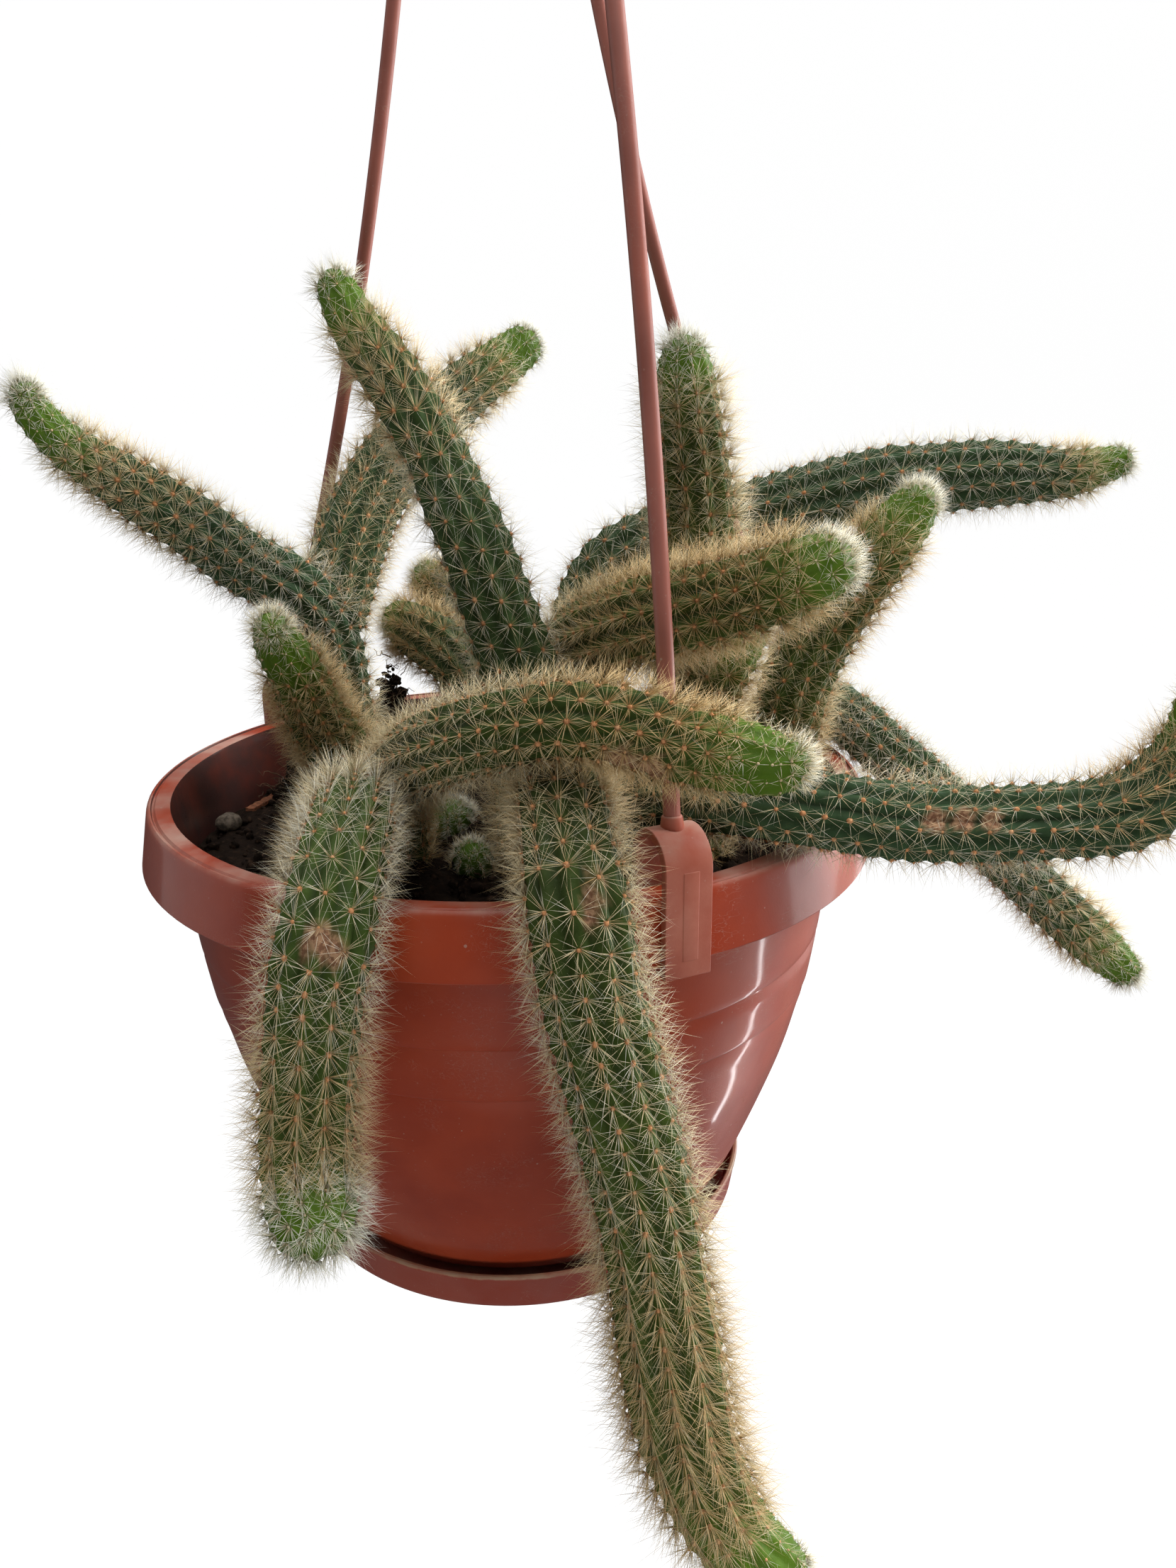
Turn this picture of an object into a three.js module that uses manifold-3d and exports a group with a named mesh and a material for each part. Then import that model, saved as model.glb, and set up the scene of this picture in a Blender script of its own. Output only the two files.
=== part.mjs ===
// A trailing columnar cactus in a hanging plastic pot: thick ribbed stems rise from the soil, lean out
// and spill over the rim, and the pot hangs by three rods from a hook.
// Millimetres, +Z up. The origin is the point where the hook rests on its rail or peg.
// Pot, soil and stems are laid out in the rim's frame: its origin is the middle of the rim's top.
import * as THREE from "three";
import { mergeVertices } from "three/addons/utils/BufferGeometryUtils.js";
import Module from "manifold-3d";

const wasm = await Module();
wasm.setup();

// ---- Driving dimensions ----
const RIM_DROP = 450; // from the hanging point down to the rim's top
const GAP = 0.3; // clearance between pieces that touch

const WALL = 2; // thickness of the pot's moulded wall
const RIM_INNER = 100.5; // radius of the mouth
const RIM_EDGE = [
  // radius and height from the skirt's inside, round its lower edge, over bead and groove, to the mouth
  [105.4, -2.4],
  [108.2, -17],
  [110.2, -17],
  [107.4, -0.3],
  [106.7, 0.5],
  [106, -0.6],
  [105.4, 0],
  [100.9, 0],
  [RIM_INNER, -0.4],
];
const BODY = [
  // outer radius of the pot's body at each height, from under the rim down to the foot
  [102.4, -2.4],
  [100.2, -17],
  [98, -32],
  [96.8, -42],
  [94.4, -58],
  [92.3, -66],
  [88.8, -80],
  [83.8, -95],
  [77.8, -111],
  [73.6, -121],
  [69.8, -128],
  [67.2, -132],
  [65.5, -133],
];
const BODY_STEPS = [-42, -58]; // heights of the two fine ledges round the body
const LEDGE = 0.5; // how far each ledge steps in
const FOOT = -133;
const ROUND_SIDES = 40; // facets round the pot, the saucer and the soil

const SAUCER = { r: 74.2, wall: 1.6, lip: 0.5, top: -129.4, floor: -139.4, foot: -142, footR: 72.2 };
const PEG = { ring: 30, r: 3.2, headR: 4.4, headZ: -130.6, tipZ: -127.8, hole: 3.6 };
const DRAIN = { ring: 46, r: 4 };
const PEGS = 3;

const SOIL_TOP = -22; // at the wall; the middle is heaped a little
const SOIL_BOTTOM = -127;

const CLIP = { width: 12.4, strap: 2.3, innerLeg: 98.2, outerLeg: 110.9, shoulder: 7.5, innerEnd: -12 };
const CLIP_LIP = { r: 107.8, top: -17.4, bottom: -19.2 };
const CLIP_CHAMFER = 1;
const COLLAR = { length: 3.6, sunk: 1, r: 3, neck: 2.5 };
const ROD_R = 2.05;
const ROD_SIDES = 8;
const ROD_TOP_GAP = 0.9; // a rod leans, so its slanted end stays a little further from the hub
const HUB = { z: 400, height: 7, r: 10, rodRing: 4.2 }; // height above the rim's top
const HOOK = { r: 13.5, wire: 2.8, end: 190 }; // centreline radius, wire radius, last angle in degrees

// Where each rod stands: degrees from the front (-Y) towards +X, and how far it bows outwards.
const RODS = {
  front: { turn: 21, bow: 32 },
  left: { turn: -132, bow: -38 },
  right: { turn: 112, bow: -42 },
};

// Each stem's centreline from its root to its tip, as [x, y, z, radius of the flesh].
const STEMS = {
  stem_left_low: [
    [-53, 28, -42, 9],
    [-54, 26, -22, 9.7],
    [-54, 25, 3, 10.5],
    [-54, 18, 20, 10.1],
    [-54, 13, 36, 9.9],
    [-57, 10, 48, 9.7],
    [-64, 4, 58, 9.5],
    [-75, -2, 66, 9],
    [-86, -12, 78, 8.6],
    [-96, -20, 87, 7.8],
    [-105, -26, 95, 6.5],
    [-110, -31, 100, 5.6],
    [-114, -35, 106, 4.9],
    [-116, -38, 111, 4.2],
    [-116, -40, 116, 2.8],
  ],
  stem_left_high: [
    [-53, 14, 45, 9.5],
    [-48, 24, 65, 10.8],
    [-42, 34, 79, 11],
    [-30, 46, 96, 10.5],
    [-14, 56, 110, 9.5],
    [0, 64, 120, 8],
    [13, 70, 129, 6],
  ],
  stem_tall_left: [
    [8, -23, -42, 9.5],
    [7, -25, -16, 10.3],
    [6, -26, 14, 11],
    [4, -28, 35, 10.8],
    [1, -28, 47, 10.4],
    [-4, -27, 62, 10],
    [-8, -25, 74, 9.5],
    [-13, -21, 85, 9.1],
    [-17, -17, 95, 8.5],
    [-22, -14, 104, 8.3],
    [-27, -10, 113, 8.3],
    [-33, -7, 122, 7.7],
    [-38, -5, 129, 6.8],
    [-42, -3, 137, 5.8],
    [-45, -2, 144, 3.8],
  ],
  stem_tall_right: [
    [55, 6, -42, 9],
    [55, 5, -24, 9.9],
    [54, 4, -2, 10.8],
    [55, -5, 30, 10.5],
    [55, -16, 64, 9.9],
    [54, -21, 84, 9.4],
    [51, -25, 103, 8.6],
    [49, -28, 117, 7.2],
    [48, -30, 126, 3.8],
  ],
  stem_front_right: [
    [19, 9, -42, 9],
    [17, 8, -19, 10.1],
    [16, 8, 8, 11.2],
    [17, 3, 27, 11.6],
    [22, -9, 40, 11.5],
    [30, -28, 49, 11.1],
    [40, -50, 57, 10.4],
    [51, -64, 62, 9.9],
    [60, -72, 66, 9.2],
    [68, -78, 70, 8.6],
    [76, -81, 74, 7.3],
    [81, -82, 77, 4.1],
  ],
  stem_front_arch: [
    [-35, -25, -42, 8],
    [-34, -27, -22, 8.9],
    [-34, -28, 3, 9.8],
    [-26, -50, 18, 9.6],
    [-19, -70, 28, 9.3],
    [-10, -85, 35, 8.9],
    [2, -97, 41, 8.6],
    [14, -104, 44, 8.3],
    [27, -108, 43, 8.3],
    [37, -111, 40, 8.1],
    [48, -114, 38, 7.8],
    [57, -118, 37, 6.6],
    [63, -121, 39, 3.4],
  ],
  stem_back_right: [
    [29, 29, -42, 9],
    [27, 30, -11, 10.2],
    [25, 36, 13, 11.4],
    [26, 42, 36, 11.3],
    [36, 48, 55, 11.3],
    [57, 50, 65, 11.3],
    [81, 48, 71, 11.3],
    [104, 46, 77, 11.2],
    [127, 43, 82, 11.3],
    [138, 41, 83, 11],
    [160, 36, 85, 10.2],
    [182, 32, 85, 7.6],
    [196, 30, 88, 5.5],
    [203, 29, 90, 3.2],
  ],
  stem_right_up: [
    [83, -1, -42, 8],
    [83, -2, -24, 9.1],
    [84, -2, -3, 10.3],
    [86, -4, 16, 10.3],
    [88, -6, 28, 10.4],
    [93, -8, 41, 10.4],
    [100, -9, 53, 10.1],
    [107, -10, 63, 9.4],
    [114, -10, 72, 8.3],
    [119, -10, 79, 6.8],
    [123, -10, 85, 4.1],
  ],
  stem_right_long: [
    [32, -34, -42, 8],
    [32, -37, -10, 9.2],
    [40, -55, 9, 9.9],
    [51, -67, 13, 9.7],
    [68, -76, 13, 9.5],
    [103, -80, 8, 9.5],
    [141, -79, 7, 9.5],
    [158, -78, 9, 10],
    [169, -76, 16, 9.6],
    [176, -75, 27, 8.7],
    [178, -74, 42, 7],
  ],
  stem_right_low: [
    [76, 20, -42, 7.5],
    [78, 19, -24, 8.1],
    [80, 19, -3, 8.7],
    [92, 21, 12, 8.9],
    [105, 20, 12, 8.9],
    [114, 18, 7, 8.9],
    [123, 10, -1, 8.8],
    [134, 0, -10, 8.5],
    [148, -9, -23, 8.4],
    [162, -16, -36, 8.1],
    [176, -21, -49, 7.9],
    [187, -24, -59, 7],
    [197, -26, -68, 4.1],
  ],
  stem_front_left: [
    [-58, -27, -42, 7.5],
    [-55, -31, -16, 8.6],
    [-46, -47, 0, 9.3],
    [-40, -67, 12, 9.5],
    [-38, -90, 15, 9.6],
    [-39, -108, 11, 9.7],
    [-41, -118, 1, 10.2],
    [-44, -121, -12, 10.3],
    [-47, -129, -42, 9.8],
    [-46, -136, -53, 9.6],
    [-43, -148, -57, 8.6],
  ],
  stem_front_long: [
    [14, -58, -42, 7.5],
    [13, -59, -23, 8.5],
    [13, -60, 0, 9.4],
    [12, -80, 19, 9.7],
    [12, -103, 22, 9.8],
    [13, -119, 13, 10.4],
    [14, -124, 5, 10.9],
    [16, -125, -12, 11.1],
    [20, -126, -29, 11.4],
    [24, -127, -47, 11.4],
    [28, -128, -65, 11.3],
    [31, -128, -86, 11.5],
    [34, -129, -106, 12.2],
    [37, -130, -126, 12],
    [41, -132, -140, 11.2],
    [46, -134, -152, 10.4],
    [52, -137, -160, 9.5],
    [60, -139, -167, 8.1],
    [67, -140, -172, 5.3],
  ],
  stem_small_left: [
    [-48, 8, -42, 8],
    [-48, 6, -27, 8.7],
    [-48, 4, -8, 9.4],
    [-50, -4, 5, 9.5],
    [-52, -11, 14, 9.3],
    [-56, -19, 26, 8.5],
    [-58, -28, 39, 7.5],
    [-61, -36, 49, 6.1],
    [-62, -42, 57, 3.5],
  ],
  stem_back_low: [
    [-6, 56, -42, 7],
    [-8, 58, -10, 8],
    [-13, 62, 13, 9.5],
    [-20, 66, 23, 10],
    [-29, 70, 29, 9.9],
    [-37, 72, 33, 8.6],
    [-44, 73, 33, 6.8],
  ],
  stem_back_small: [
    [-3, 84, -42, 5.5],
    [-6, 84, 5, 7],
    [-13, 84, 27, 7.5],
    [-20, 85, 39, 7.5],
    [-27, 87, 47, 6.8],
    [-31, 88, 52, 5.4],
  ],
  pup_back: [
    [-16, 8, -38, 5.5],
    [-18, 1, -22, 7.4],
    [-19, -8, -9, 6],
  ],
  pup_front: [
    [-9, -19, -38, 4.5],
    [-11, -27, -23, 6],
    [-12, -36, -12, 5],
  ],
  stem_right_short: [
    [57, -20, -42, 7],
    [55, -22, -10, 8.2],
    [54, -27, 12, 9],
    [55, -34, 30, 8.9],
    [60, -42, 45, 8.1],
    [66, -47, 59, 6.4],
  ],
};
// A branch that grows out of another stem is fitted against it.
const BRANCH = { stem_left_high: "stem_left_low" };
const STEM_SIDES = 10;
const STEM_STEP = 13; // length of stem between two rings
const DOME_RINGS = 2; // rings that round off a tip

const STONE = { r: 4.2, at: [-91, 14, -19.5] };
const CHIP = { size: [17, 3, 1.2], at: [-84, 37, -20.6], turn: 66 };

// ---- Helpers ----
const degrees = THREE.MathUtils.degToRad;

// The unit vector that points away from the pot's axis at a turn from the front towards +X.
function outwards(turn) {
  return new THREE.Vector3(Math.sin(degrees(turn)), -Math.cos(degrees(turn)), 0);
}

function solidOf(geometry) {
  const bare = geometry.clone();
  bare.deleteAttribute("normal");
  bare.deleteAttribute("uv");
  const merged = mergeVertices(bare, 1e-4);
  return new wasm.Manifold(
    new wasm.Mesh({
      numProp: 3,
      vertProperties: merged.attributes.position.array,
      triVerts: new Uint32Array(merged.index.array),
    }),
  );
}

function geometryOf(solid) {
  const mesh = solid.getMesh();
  const geometry = new THREE.BufferGeometry();
  geometry.setAttribute("position", new THREE.BufferAttribute(mesh.vertProperties, 3));
  geometry.setIndex(new THREE.BufferAttribute(mesh.triVerts, 1));
  geometry.computeVertexNormals();
  return geometry;
}

// A shape turned about Z from a list of [radius, height], given from the bottom up along its outside.
function turned(profile, sides = ROUND_SIDES) {
  const points = profile.map(([r, z]) => new THREE.Vector2(r, z));
  return new THREE.LatheGeometry(points, sides).rotateX(Math.PI / 2);
}

// An upright cylinder or cone between two heights at (x, y).
function post(x, y, low, high, lowR, highR = lowR, sides = 16) {
  const geometry = new THREE.CylinderGeometry(highR, lowR, high - low, sides);
  return geometry.rotateX(Math.PI / 2).translate(x, y, (low + high) / 2);
}

// Places on a circle about the axis, evenly spaced from a first turn.
function ringOf(count, radius, first) {
  return Array.from({ length: count }, (_, i) =>
    outwards(first + (360 * i) / count).multiplyScalar(radius),
  );
}

// ---- Pot ----
// The body's outside with its two fine ledges, from the foot up to the rim.
function bodyOutline() {
  const outline = [];
  for (const [r, z] of BODY) {
    outline.push([r, z]);
    if (BODY_STEPS.includes(z)) outline.push([r - LEDGE, z - LEDGE]);
  }
  return outline.reverse();
}

// Radius of the inner face at a height, a wall's thickness inside the body.
function innerRadius(z) {
  const below = BODY.findIndex(([, height]) => height <= z);
  if (below <= 0) return RIM_INNER;
  const [r1, z1] = BODY[below - 1];
  const [r2, z2] = BODY[below];
  return THREE.MathUtils.mapLinear(z, z1, z2, r1, r2) - WALL;
}

function potSolid() {
  const inside = BODY.slice(1, -1).map(([, z]) => [innerRadius(z), z]);
  const floor = FOOT + WALL;
  const profile = [[0, FOOT], ...bodyOutline(), ...RIM_EDGE, ...inside.filter(([, z]) => z > floor + 1)];
  let pot = solidOf(turned([...profile, [BODY.at(-1)[0] - WALL, floor], [0, floor]]));
  const holes = [
    ...ringOf(PEGS, PEG.ring, 0).map(({ x, y }) => post(x, y, FOOT - 1, floor + 1, PEG.hole)),
    ...ringOf(PEGS, DRAIN.ring, 60).map(({ x, y }) => post(x, y, FOOT - 1, floor + 1, DRAIN.r)),
  ];
  for (const hole of holes) pot = pot.subtract(solidOf(hole));
  return pot;
}

// ---- Saucer: a shallow tray on three snap pegs that reach through the pot's floor ----
function saucerSolid() {
  const dish = turned([
    [0, SAUCER.foot],
    [SAUCER.footR - SAUCER.wall, SAUCER.foot],
    [SAUCER.footR, SAUCER.foot + SAUCER.wall],
    [SAUCER.r, SAUCER.top - SAUCER.lip],
    [SAUCER.r - SAUCER.lip, SAUCER.top],
    [SAUCER.r - SAUCER.wall, SAUCER.top],
    [SAUCER.footR - SAUCER.wall, SAUCER.floor],
    [0, SAUCER.floor],
  ]);
  let saucer = solidOf(dish);
  for (const { x, y } of ringOf(PEGS, PEG.ring, 0)) {
    saucer = saucer
      .add(solidOf(post(x, y, SAUCER.floor - 1, PEG.headZ + 0.5, PEG.r)))
      .add(solidOf(post(x, y, PEG.headZ, PEG.tipZ, PEG.headR, PEG.r - 1)));
  }
  return saucer;
}

// ---- Stems ----
// Frames carried along the curve without twist, one for each place given as a share of its length.
function carriedFrames(curve, places) {
  const side = new THREE.Vector3(1, 0.2, 0.1);
  return places.map((place) => {
    const ahead = curve.getTangentAt(place);
    side.addScaledVector(ahead, -side.dot(ahead)).normalize();
    return { centre: curve.getPointAt(place), side: side.clone(), up: ahead.cross(side) };
  });
}

// A stem's flesh: a turned spindle, round at the tip, whose rings are carried onto the centreline.
function stemGeometry(route, grow = 0) {
  const curve = new THREE.CatmullRomCurve3(
    route.map(([x, y, z]) => new THREE.Vector3(x, y, z)),
    false,
    "catmullrom",
    0.5,
  );
  const widths = new THREE.CatmullRomCurve3(
    route.map(([, , , r]) => new THREE.Vector3(r, 0, 0)),
    false,
    "catmullrom",
    0.5,
  );
  const length = curve.getLength();
  const dome = route.at(-1)[3] / length;
  const rings = Math.max(3, Math.round(length / STEM_STEP));
  const places = Array.from({ length: rings + 1 }, (_, i) => ((1 - dome) * i) / rings);
  for (let i = 1; i <= DOME_RINGS; i += 1) {
    places.push(1 - dome * (1 - Math.sin((Math.PI / 2) * (i / (DOME_RINGS + 0.5)))));
  }
  places.push(1);
  const radiusAt = (place) => {
    const inDome = Math.max(0, (place - 1 + dome) / dome);
    return (widths.getPoint(curve.getUtoTmapping(place)).x + grow) * Math.sqrt(1 - inDome ** 2);
  };
  // The spindle's heights are ring numbers, with the root's flat end as a ring of its own.
  const profile = [new THREE.Vector2(0, 0), ...places.map((place, i) => new THREE.Vector2(radiusAt(place), i))];
  const spindle = new THREE.LatheGeometry(profile, STEM_SIDES);
  const frames = carriedFrames(curve, places);
  const position = spindle.attributes.position;
  for (let i = 0; i < position.count; i += 1) {
    const { centre, side, up } = frames[Math.round(position.getY(i))];
    const placed = centre.clone().addScaledVector(up, position.getX(i)).addScaledVector(side, position.getZ(i));
    position.setXYZ(i, placed.x, placed.y, placed.z);
  }
  return spindle;
}

function stemSolids() {
  const solids = {};
  for (const [name, route] of Object.entries(STEMS)) {
    const stem = solidOf(stemGeometry(route));
    const trunk = BRANCH[name];
    solids[name] = trunk ? stem.subtract(solidOf(stemGeometry(STEMS[trunk], GAP))) : stem;
  }
  return solids;
}

// ---- Soil and what lies on it ----
function stoneGeometry(grow = 0) {
  const pebble = new THREE.IcosahedronGeometry(STONE.r + grow, 1);
  return pebble.scale(1, 0.85, 0.75).translate(...STONE.at);
}

function chipGeometry(grow = 0) {
  const [length, width, thickness] = CHIP.size.map((side) => side + 2 * grow);
  const chip = new THREE.BoxGeometry(length, width, thickness);
  return chip.rotateZ(degrees(CHIP.turn)).translate(...CHIP.at);
}

// How far the soil is heaped above its height at the wall.
function heap(x, y) {
  const inside = 1 - Math.hypot(x, y) / innerRadius(SOIL_TOP);
  return inside * (5 + 3 * Math.sin(x / 11 + 1) * Math.cos(y / 13)) + Math.sin(x / 7) * Math.sin(y / 9) * inside * 4;
}

function soilSolid() {
  const heights = [SOIL_BOTTOM, -121, -111, -95, -80, -66, -42];
  const side = heights.map((z) => [innerRadius(z) - GAP, z]);
  const wallTop = innerRadius(SOIL_TOP) - GAP;
  const shares = [1, 0.85, 0.68, 0.5, 0.3];
  const top = shares.map((share) => [wallTop * share, SOIL_TOP]);
  const mound = turned([[0, SOIL_BOTTOM], ...side, ...top, [0, SOIL_TOP]]);
  const position = mound.attributes.position;
  for (let i = 0; i < position.count; i += 1) {
    if (position.getZ(i) < SOIL_TOP - 1) continue;
    position.setZ(i, SOIL_TOP + heap(position.getX(i), position.getY(i)));
  }
  let soil = solidOf(mound);
  for (const [name, route] of Object.entries(STEMS)) {
    if (!BRANCH[name]) soil = soil.subtract(solidOf(stemGeometry(route, GAP)));
  }
  return soil.subtract(solidOf(stoneGeometry(GAP))).subtract(solidOf(chipGeometry(GAP)));
}

// ---- Hanger: three clips over the rim, three rods and a hub with a hook ----
// The route of a rod's centreline, from the top of its clip's arch to the hub.
function rodCurve({ turn, bow }) {
  const away = outwards(turn);
  const arch = (CLIP.innerLeg + CLIP.outerLeg) / 2;
  const foot = away.clone().multiplyScalar(arch).setZ(CLIP.shoulder + arch - CLIP.innerLeg + CLIP.strap - COLLAR.sunk);
  const head = away.clone().multiplyScalar(HUB.rodRing).setZ(HUB.z);
  const middle = foot.clone().lerp(head, 0.5).addScaledVector(away, bow);
  return new THREE.QuadraticBezierCurve3(foot, middle, head);
}

// The strap seen along the rim: an inverted U with a lip that catches under the skirt.
function clipOutline() {
  const middle = (CLIP.innerLeg + CLIP.outerLeg) / 2;
  const arch = middle - CLIP.innerLeg;
  const outline = new THREE.Shape();
  outline.moveTo(CLIP.innerLeg - CLIP.strap + CLIP_CHAMFER, CLIP.innerEnd);
  outline.lineTo(CLIP.innerLeg, CLIP.innerEnd);
  outline.lineTo(CLIP.innerLeg, CLIP.shoulder);
  outline.absarc(middle, CLIP.shoulder, arch, Math.PI, 0, true);
  outline.lineTo(CLIP.outerLeg, CLIP_LIP.top);
  outline.lineTo(CLIP_LIP.r, CLIP_LIP.top);
  outline.lineTo(CLIP_LIP.r, (CLIP_LIP.top + CLIP_LIP.bottom) / 2);
  outline.lineTo(CLIP.outerLeg + CLIP_CHAMFER, CLIP_LIP.bottom);
  outline.lineTo(CLIP.outerLeg + CLIP.strap, CLIP_LIP.bottom + CLIP_CHAMFER);
  outline.lineTo(CLIP.outerLeg + CLIP.strap, CLIP.shoulder);
  outline.absarc(middle, CLIP.shoulder, arch + CLIP.strap, 0, Math.PI, false);
  outline.lineTo(CLIP.innerLeg - CLIP.strap, CLIP.innerEnd + CLIP_CHAMFER);
  outline.closePath();
  return outline;
}

// A cylinder or cone from one point towards another.
function coneBetween(from, towards, length, startR, endR, sides = 16) {
  const ahead = towards.clone().sub(from).normalize();
  const cone = new THREE.CylinderGeometry(endR, startR, length, sides).translate(0, length / 2, 0);
  const turn = new THREE.Quaternion().setFromUnitVectors(new THREE.Vector3(0, 1, 0), ahead);
  return cone.applyQuaternion(turn).translate(from.x, from.y, from.z);
}

function clipSolid(rod) {
  const strap = new THREE.ExtrudeGeometry(clipOutline(), {
    depth: CLIP.width,
    bevelEnabled: false,
    curveSegments: 8,
  });
  strap.translate(0, 0, -CLIP.width / 2).rotateX(Math.PI / 2).rotateZ(degrees(rod.turn - 90));
  const curve = rodCurve(rod);
  const collar = coneBetween(curve.getPointAt(0), curve.getPointAt(0.05), COLLAR.length, COLLAR.r, COLLAR.neck);
  return solidOf(strap).add(solidOf(collar));
}

// A round bar of a few flat sides along a curve.
function barAlong(curve, radius, sides, steps) {
  const section = new THREE.Shape(
    Array.from({ length: sides }, (_, i) => {
      const turn = (2 * Math.PI * (i + 0.5)) / sides;
      return new THREE.Vector2(radius * Math.cos(turn), radius * Math.sin(turn));
    }),
  );
  return new THREE.ExtrudeGeometry(section, { steps, bevelEnabled: false, extrudePath: curve });
}

// The stretch of a curve between two shares of its length.
function stretchOf(curve, start, end, count) {
  const points = Array.from({ length: count + 1 }, (_, i) =>
    curve.getPointAt(THREE.MathUtils.lerp(start, end, i / count)),
  );
  return new THREE.CatmullRomCurve3(points, false, "catmullrom", 0.5);
}

function rodGeometry(rod) {
  const curve = rodCurve(rod);
  const length = curve.getLength();
  const bar = stretchOf(curve, (COLLAR.length + GAP) / length, 1 - ROD_TOP_GAP / length, 6);
  return barAlong(bar, ROD_R, ROD_SIDES, 20);
}

function hookSolid() {
  const top = HUB.z + HUB.height;
  const centre = RIM_DROP - HOOK.r + HOOK.wire;
  const steps = 18;
  const bend = Array.from({ length: steps + 1 }, (_, i) => {
    const turn = degrees(THREE.MathUtils.lerp(-90, HOOK.end, i / steps));
    return new THREE.Vector3(HOOK.r * Math.cos(turn), 0, centre + HOOK.r * Math.sin(turn));
  });
  const route = new THREE.CatmullRomCurve3(bend, false, "catmullrom", 0.5);
  const loop = solidOf(barAlong(route, HOOK.wire, ROD_SIDES, 28));
  const hub = turned(
    [
      [0, HUB.z],
      [HUB.r, HUB.z],
      [HUB.r, HUB.z + HUB.height - 3],
      [HOOK.wire + 3, top],
      [HOOK.wire, top + 4],
      [HOOK.wire, centre - HOOK.r + 1],
      [0, centre - HOOK.r + 1],
    ],
    20,
  );
  return solidOf(hub).add(loop);
}

// ---- Assembly ----
function finish(color, roughness, metalness = 0) {
  return new THREE.MeshStandardMaterial({ color, roughness, metalness });
}
const PLASTIC = finish(0x9c4636, 0.35);
const ROD_PLASTIC = finish(0x9a5347, 0.5);
const EARTH = finish(0x2b211c, 0.95);
const FLESH = finish(0x3d5b3a, 0.6);
const YOUNG_FLESH = finish(0x5f8f3a, 0.6);
const PALE_STONE = finish(0xa8a193, 0.85);
const BARK = finish(0x7a4a30, 0.9);

const basket = new THREE.Group();
basket.position.z = -RIM_DROP;

function place(name, geometry, material) {
  const mesh = new THREE.Mesh(geometry, material.clone());
  mesh.name = name;
  basket.add(mesh);
}

place("pot", geometryOf(potSolid()), PLASTIC);
place("saucer", geometryOf(saucerSolid()), PLASTIC);
place("soil", geometryOf(soilSolid()), EARTH);
place("stone", stoneGeometry(), PALE_STONE);
place("bark_chip", chipGeometry(), BARK);
for (const [name, stem] of Object.entries(stemSolids())) {
  place(name, geometryOf(stem), name.startsWith("pup") ? YOUNG_FLESH : FLESH);
}
for (const [side, rod] of Object.entries(RODS)) {
  place("rim_clip_" + side, geometryOf(clipSolid(rod)), PLASTIC);
  place("hanger_rod_" + side, rodGeometry(rod), ROD_PLASTIC);
}
place("hanger_hook", geometryOf(hookSolid()), ROD_PLASTIC);

const hangingCactus = new THREE.Group();
hangingCactus.add(basket);

export default hangingCactus;
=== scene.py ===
"""A trailing columnar cactus in a hanging plastic pot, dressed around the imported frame.

Metres, +Z up. The origin is the point where the hook rests on its rail. Pot and plant are laid out
in millimetres in the rim's frame, whose origin is the middle of the rim's top: MM and RIM_TOP carry
those numbers to the frame's metres.
"""
import logging
import math
from dataclasses import dataclass, field
from enum import Enum

import bpy
import numpy as np
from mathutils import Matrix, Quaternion, Vector, noise


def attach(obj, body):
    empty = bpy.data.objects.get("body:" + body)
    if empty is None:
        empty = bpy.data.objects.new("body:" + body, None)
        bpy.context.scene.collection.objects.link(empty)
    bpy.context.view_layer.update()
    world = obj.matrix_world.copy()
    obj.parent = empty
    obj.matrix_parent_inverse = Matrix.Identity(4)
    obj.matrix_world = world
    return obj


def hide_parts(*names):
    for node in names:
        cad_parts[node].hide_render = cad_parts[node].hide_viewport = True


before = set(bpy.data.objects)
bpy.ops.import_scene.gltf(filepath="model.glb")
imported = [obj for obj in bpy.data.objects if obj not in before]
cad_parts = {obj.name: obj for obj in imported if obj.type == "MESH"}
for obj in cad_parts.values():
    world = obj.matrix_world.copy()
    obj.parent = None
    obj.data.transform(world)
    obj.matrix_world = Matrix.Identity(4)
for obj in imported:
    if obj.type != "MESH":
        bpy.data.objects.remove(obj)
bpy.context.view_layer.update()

Piece = bpy.types.Object
Socket = bpy.types.NodeSocket
Pair = tuple[float, float]
Triple = tuple[float, float, float]
Array = np.ndarray
Buds = dict[str, Array]  # what is known of each areole, by name

MM = 0.001
RIM_TOP = -0.450  # height of the rim's top in the frame
BODY = "root"
NEARLY_UP = (0.12, 0.21, 0.97)  # crossed with a thread's direction, gives its side
SCAR_WAVES = ((2.3, 1.1, 0.4), (0.7, 0.3, 2.1))  # two waves that make a scar's outline ragged
SCAR_RIPPLE = 0.28  # how far those waves move it, as a share of its size
LOW_START = 45.0  # how far from the root the old growth starts to thin out, in millimetres
RIB_SHIFT = 0.39  # how far each rib's areoles are shifted along it, as a share of their spacing
SPIKE_CORNERS = (0.0, 2.094, 4.189)  # the three corners of a spine's foot, in radians
SPIKE_FACES = ((0, 1, 3), (1, 2, 3), (2, 0, 3), (2, 1, 0))  # its three sides and its foot
DOME_SIDES = 6  # sides of an areole's dome of wool

log = logging.getLogger("hanging cactus")


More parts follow.
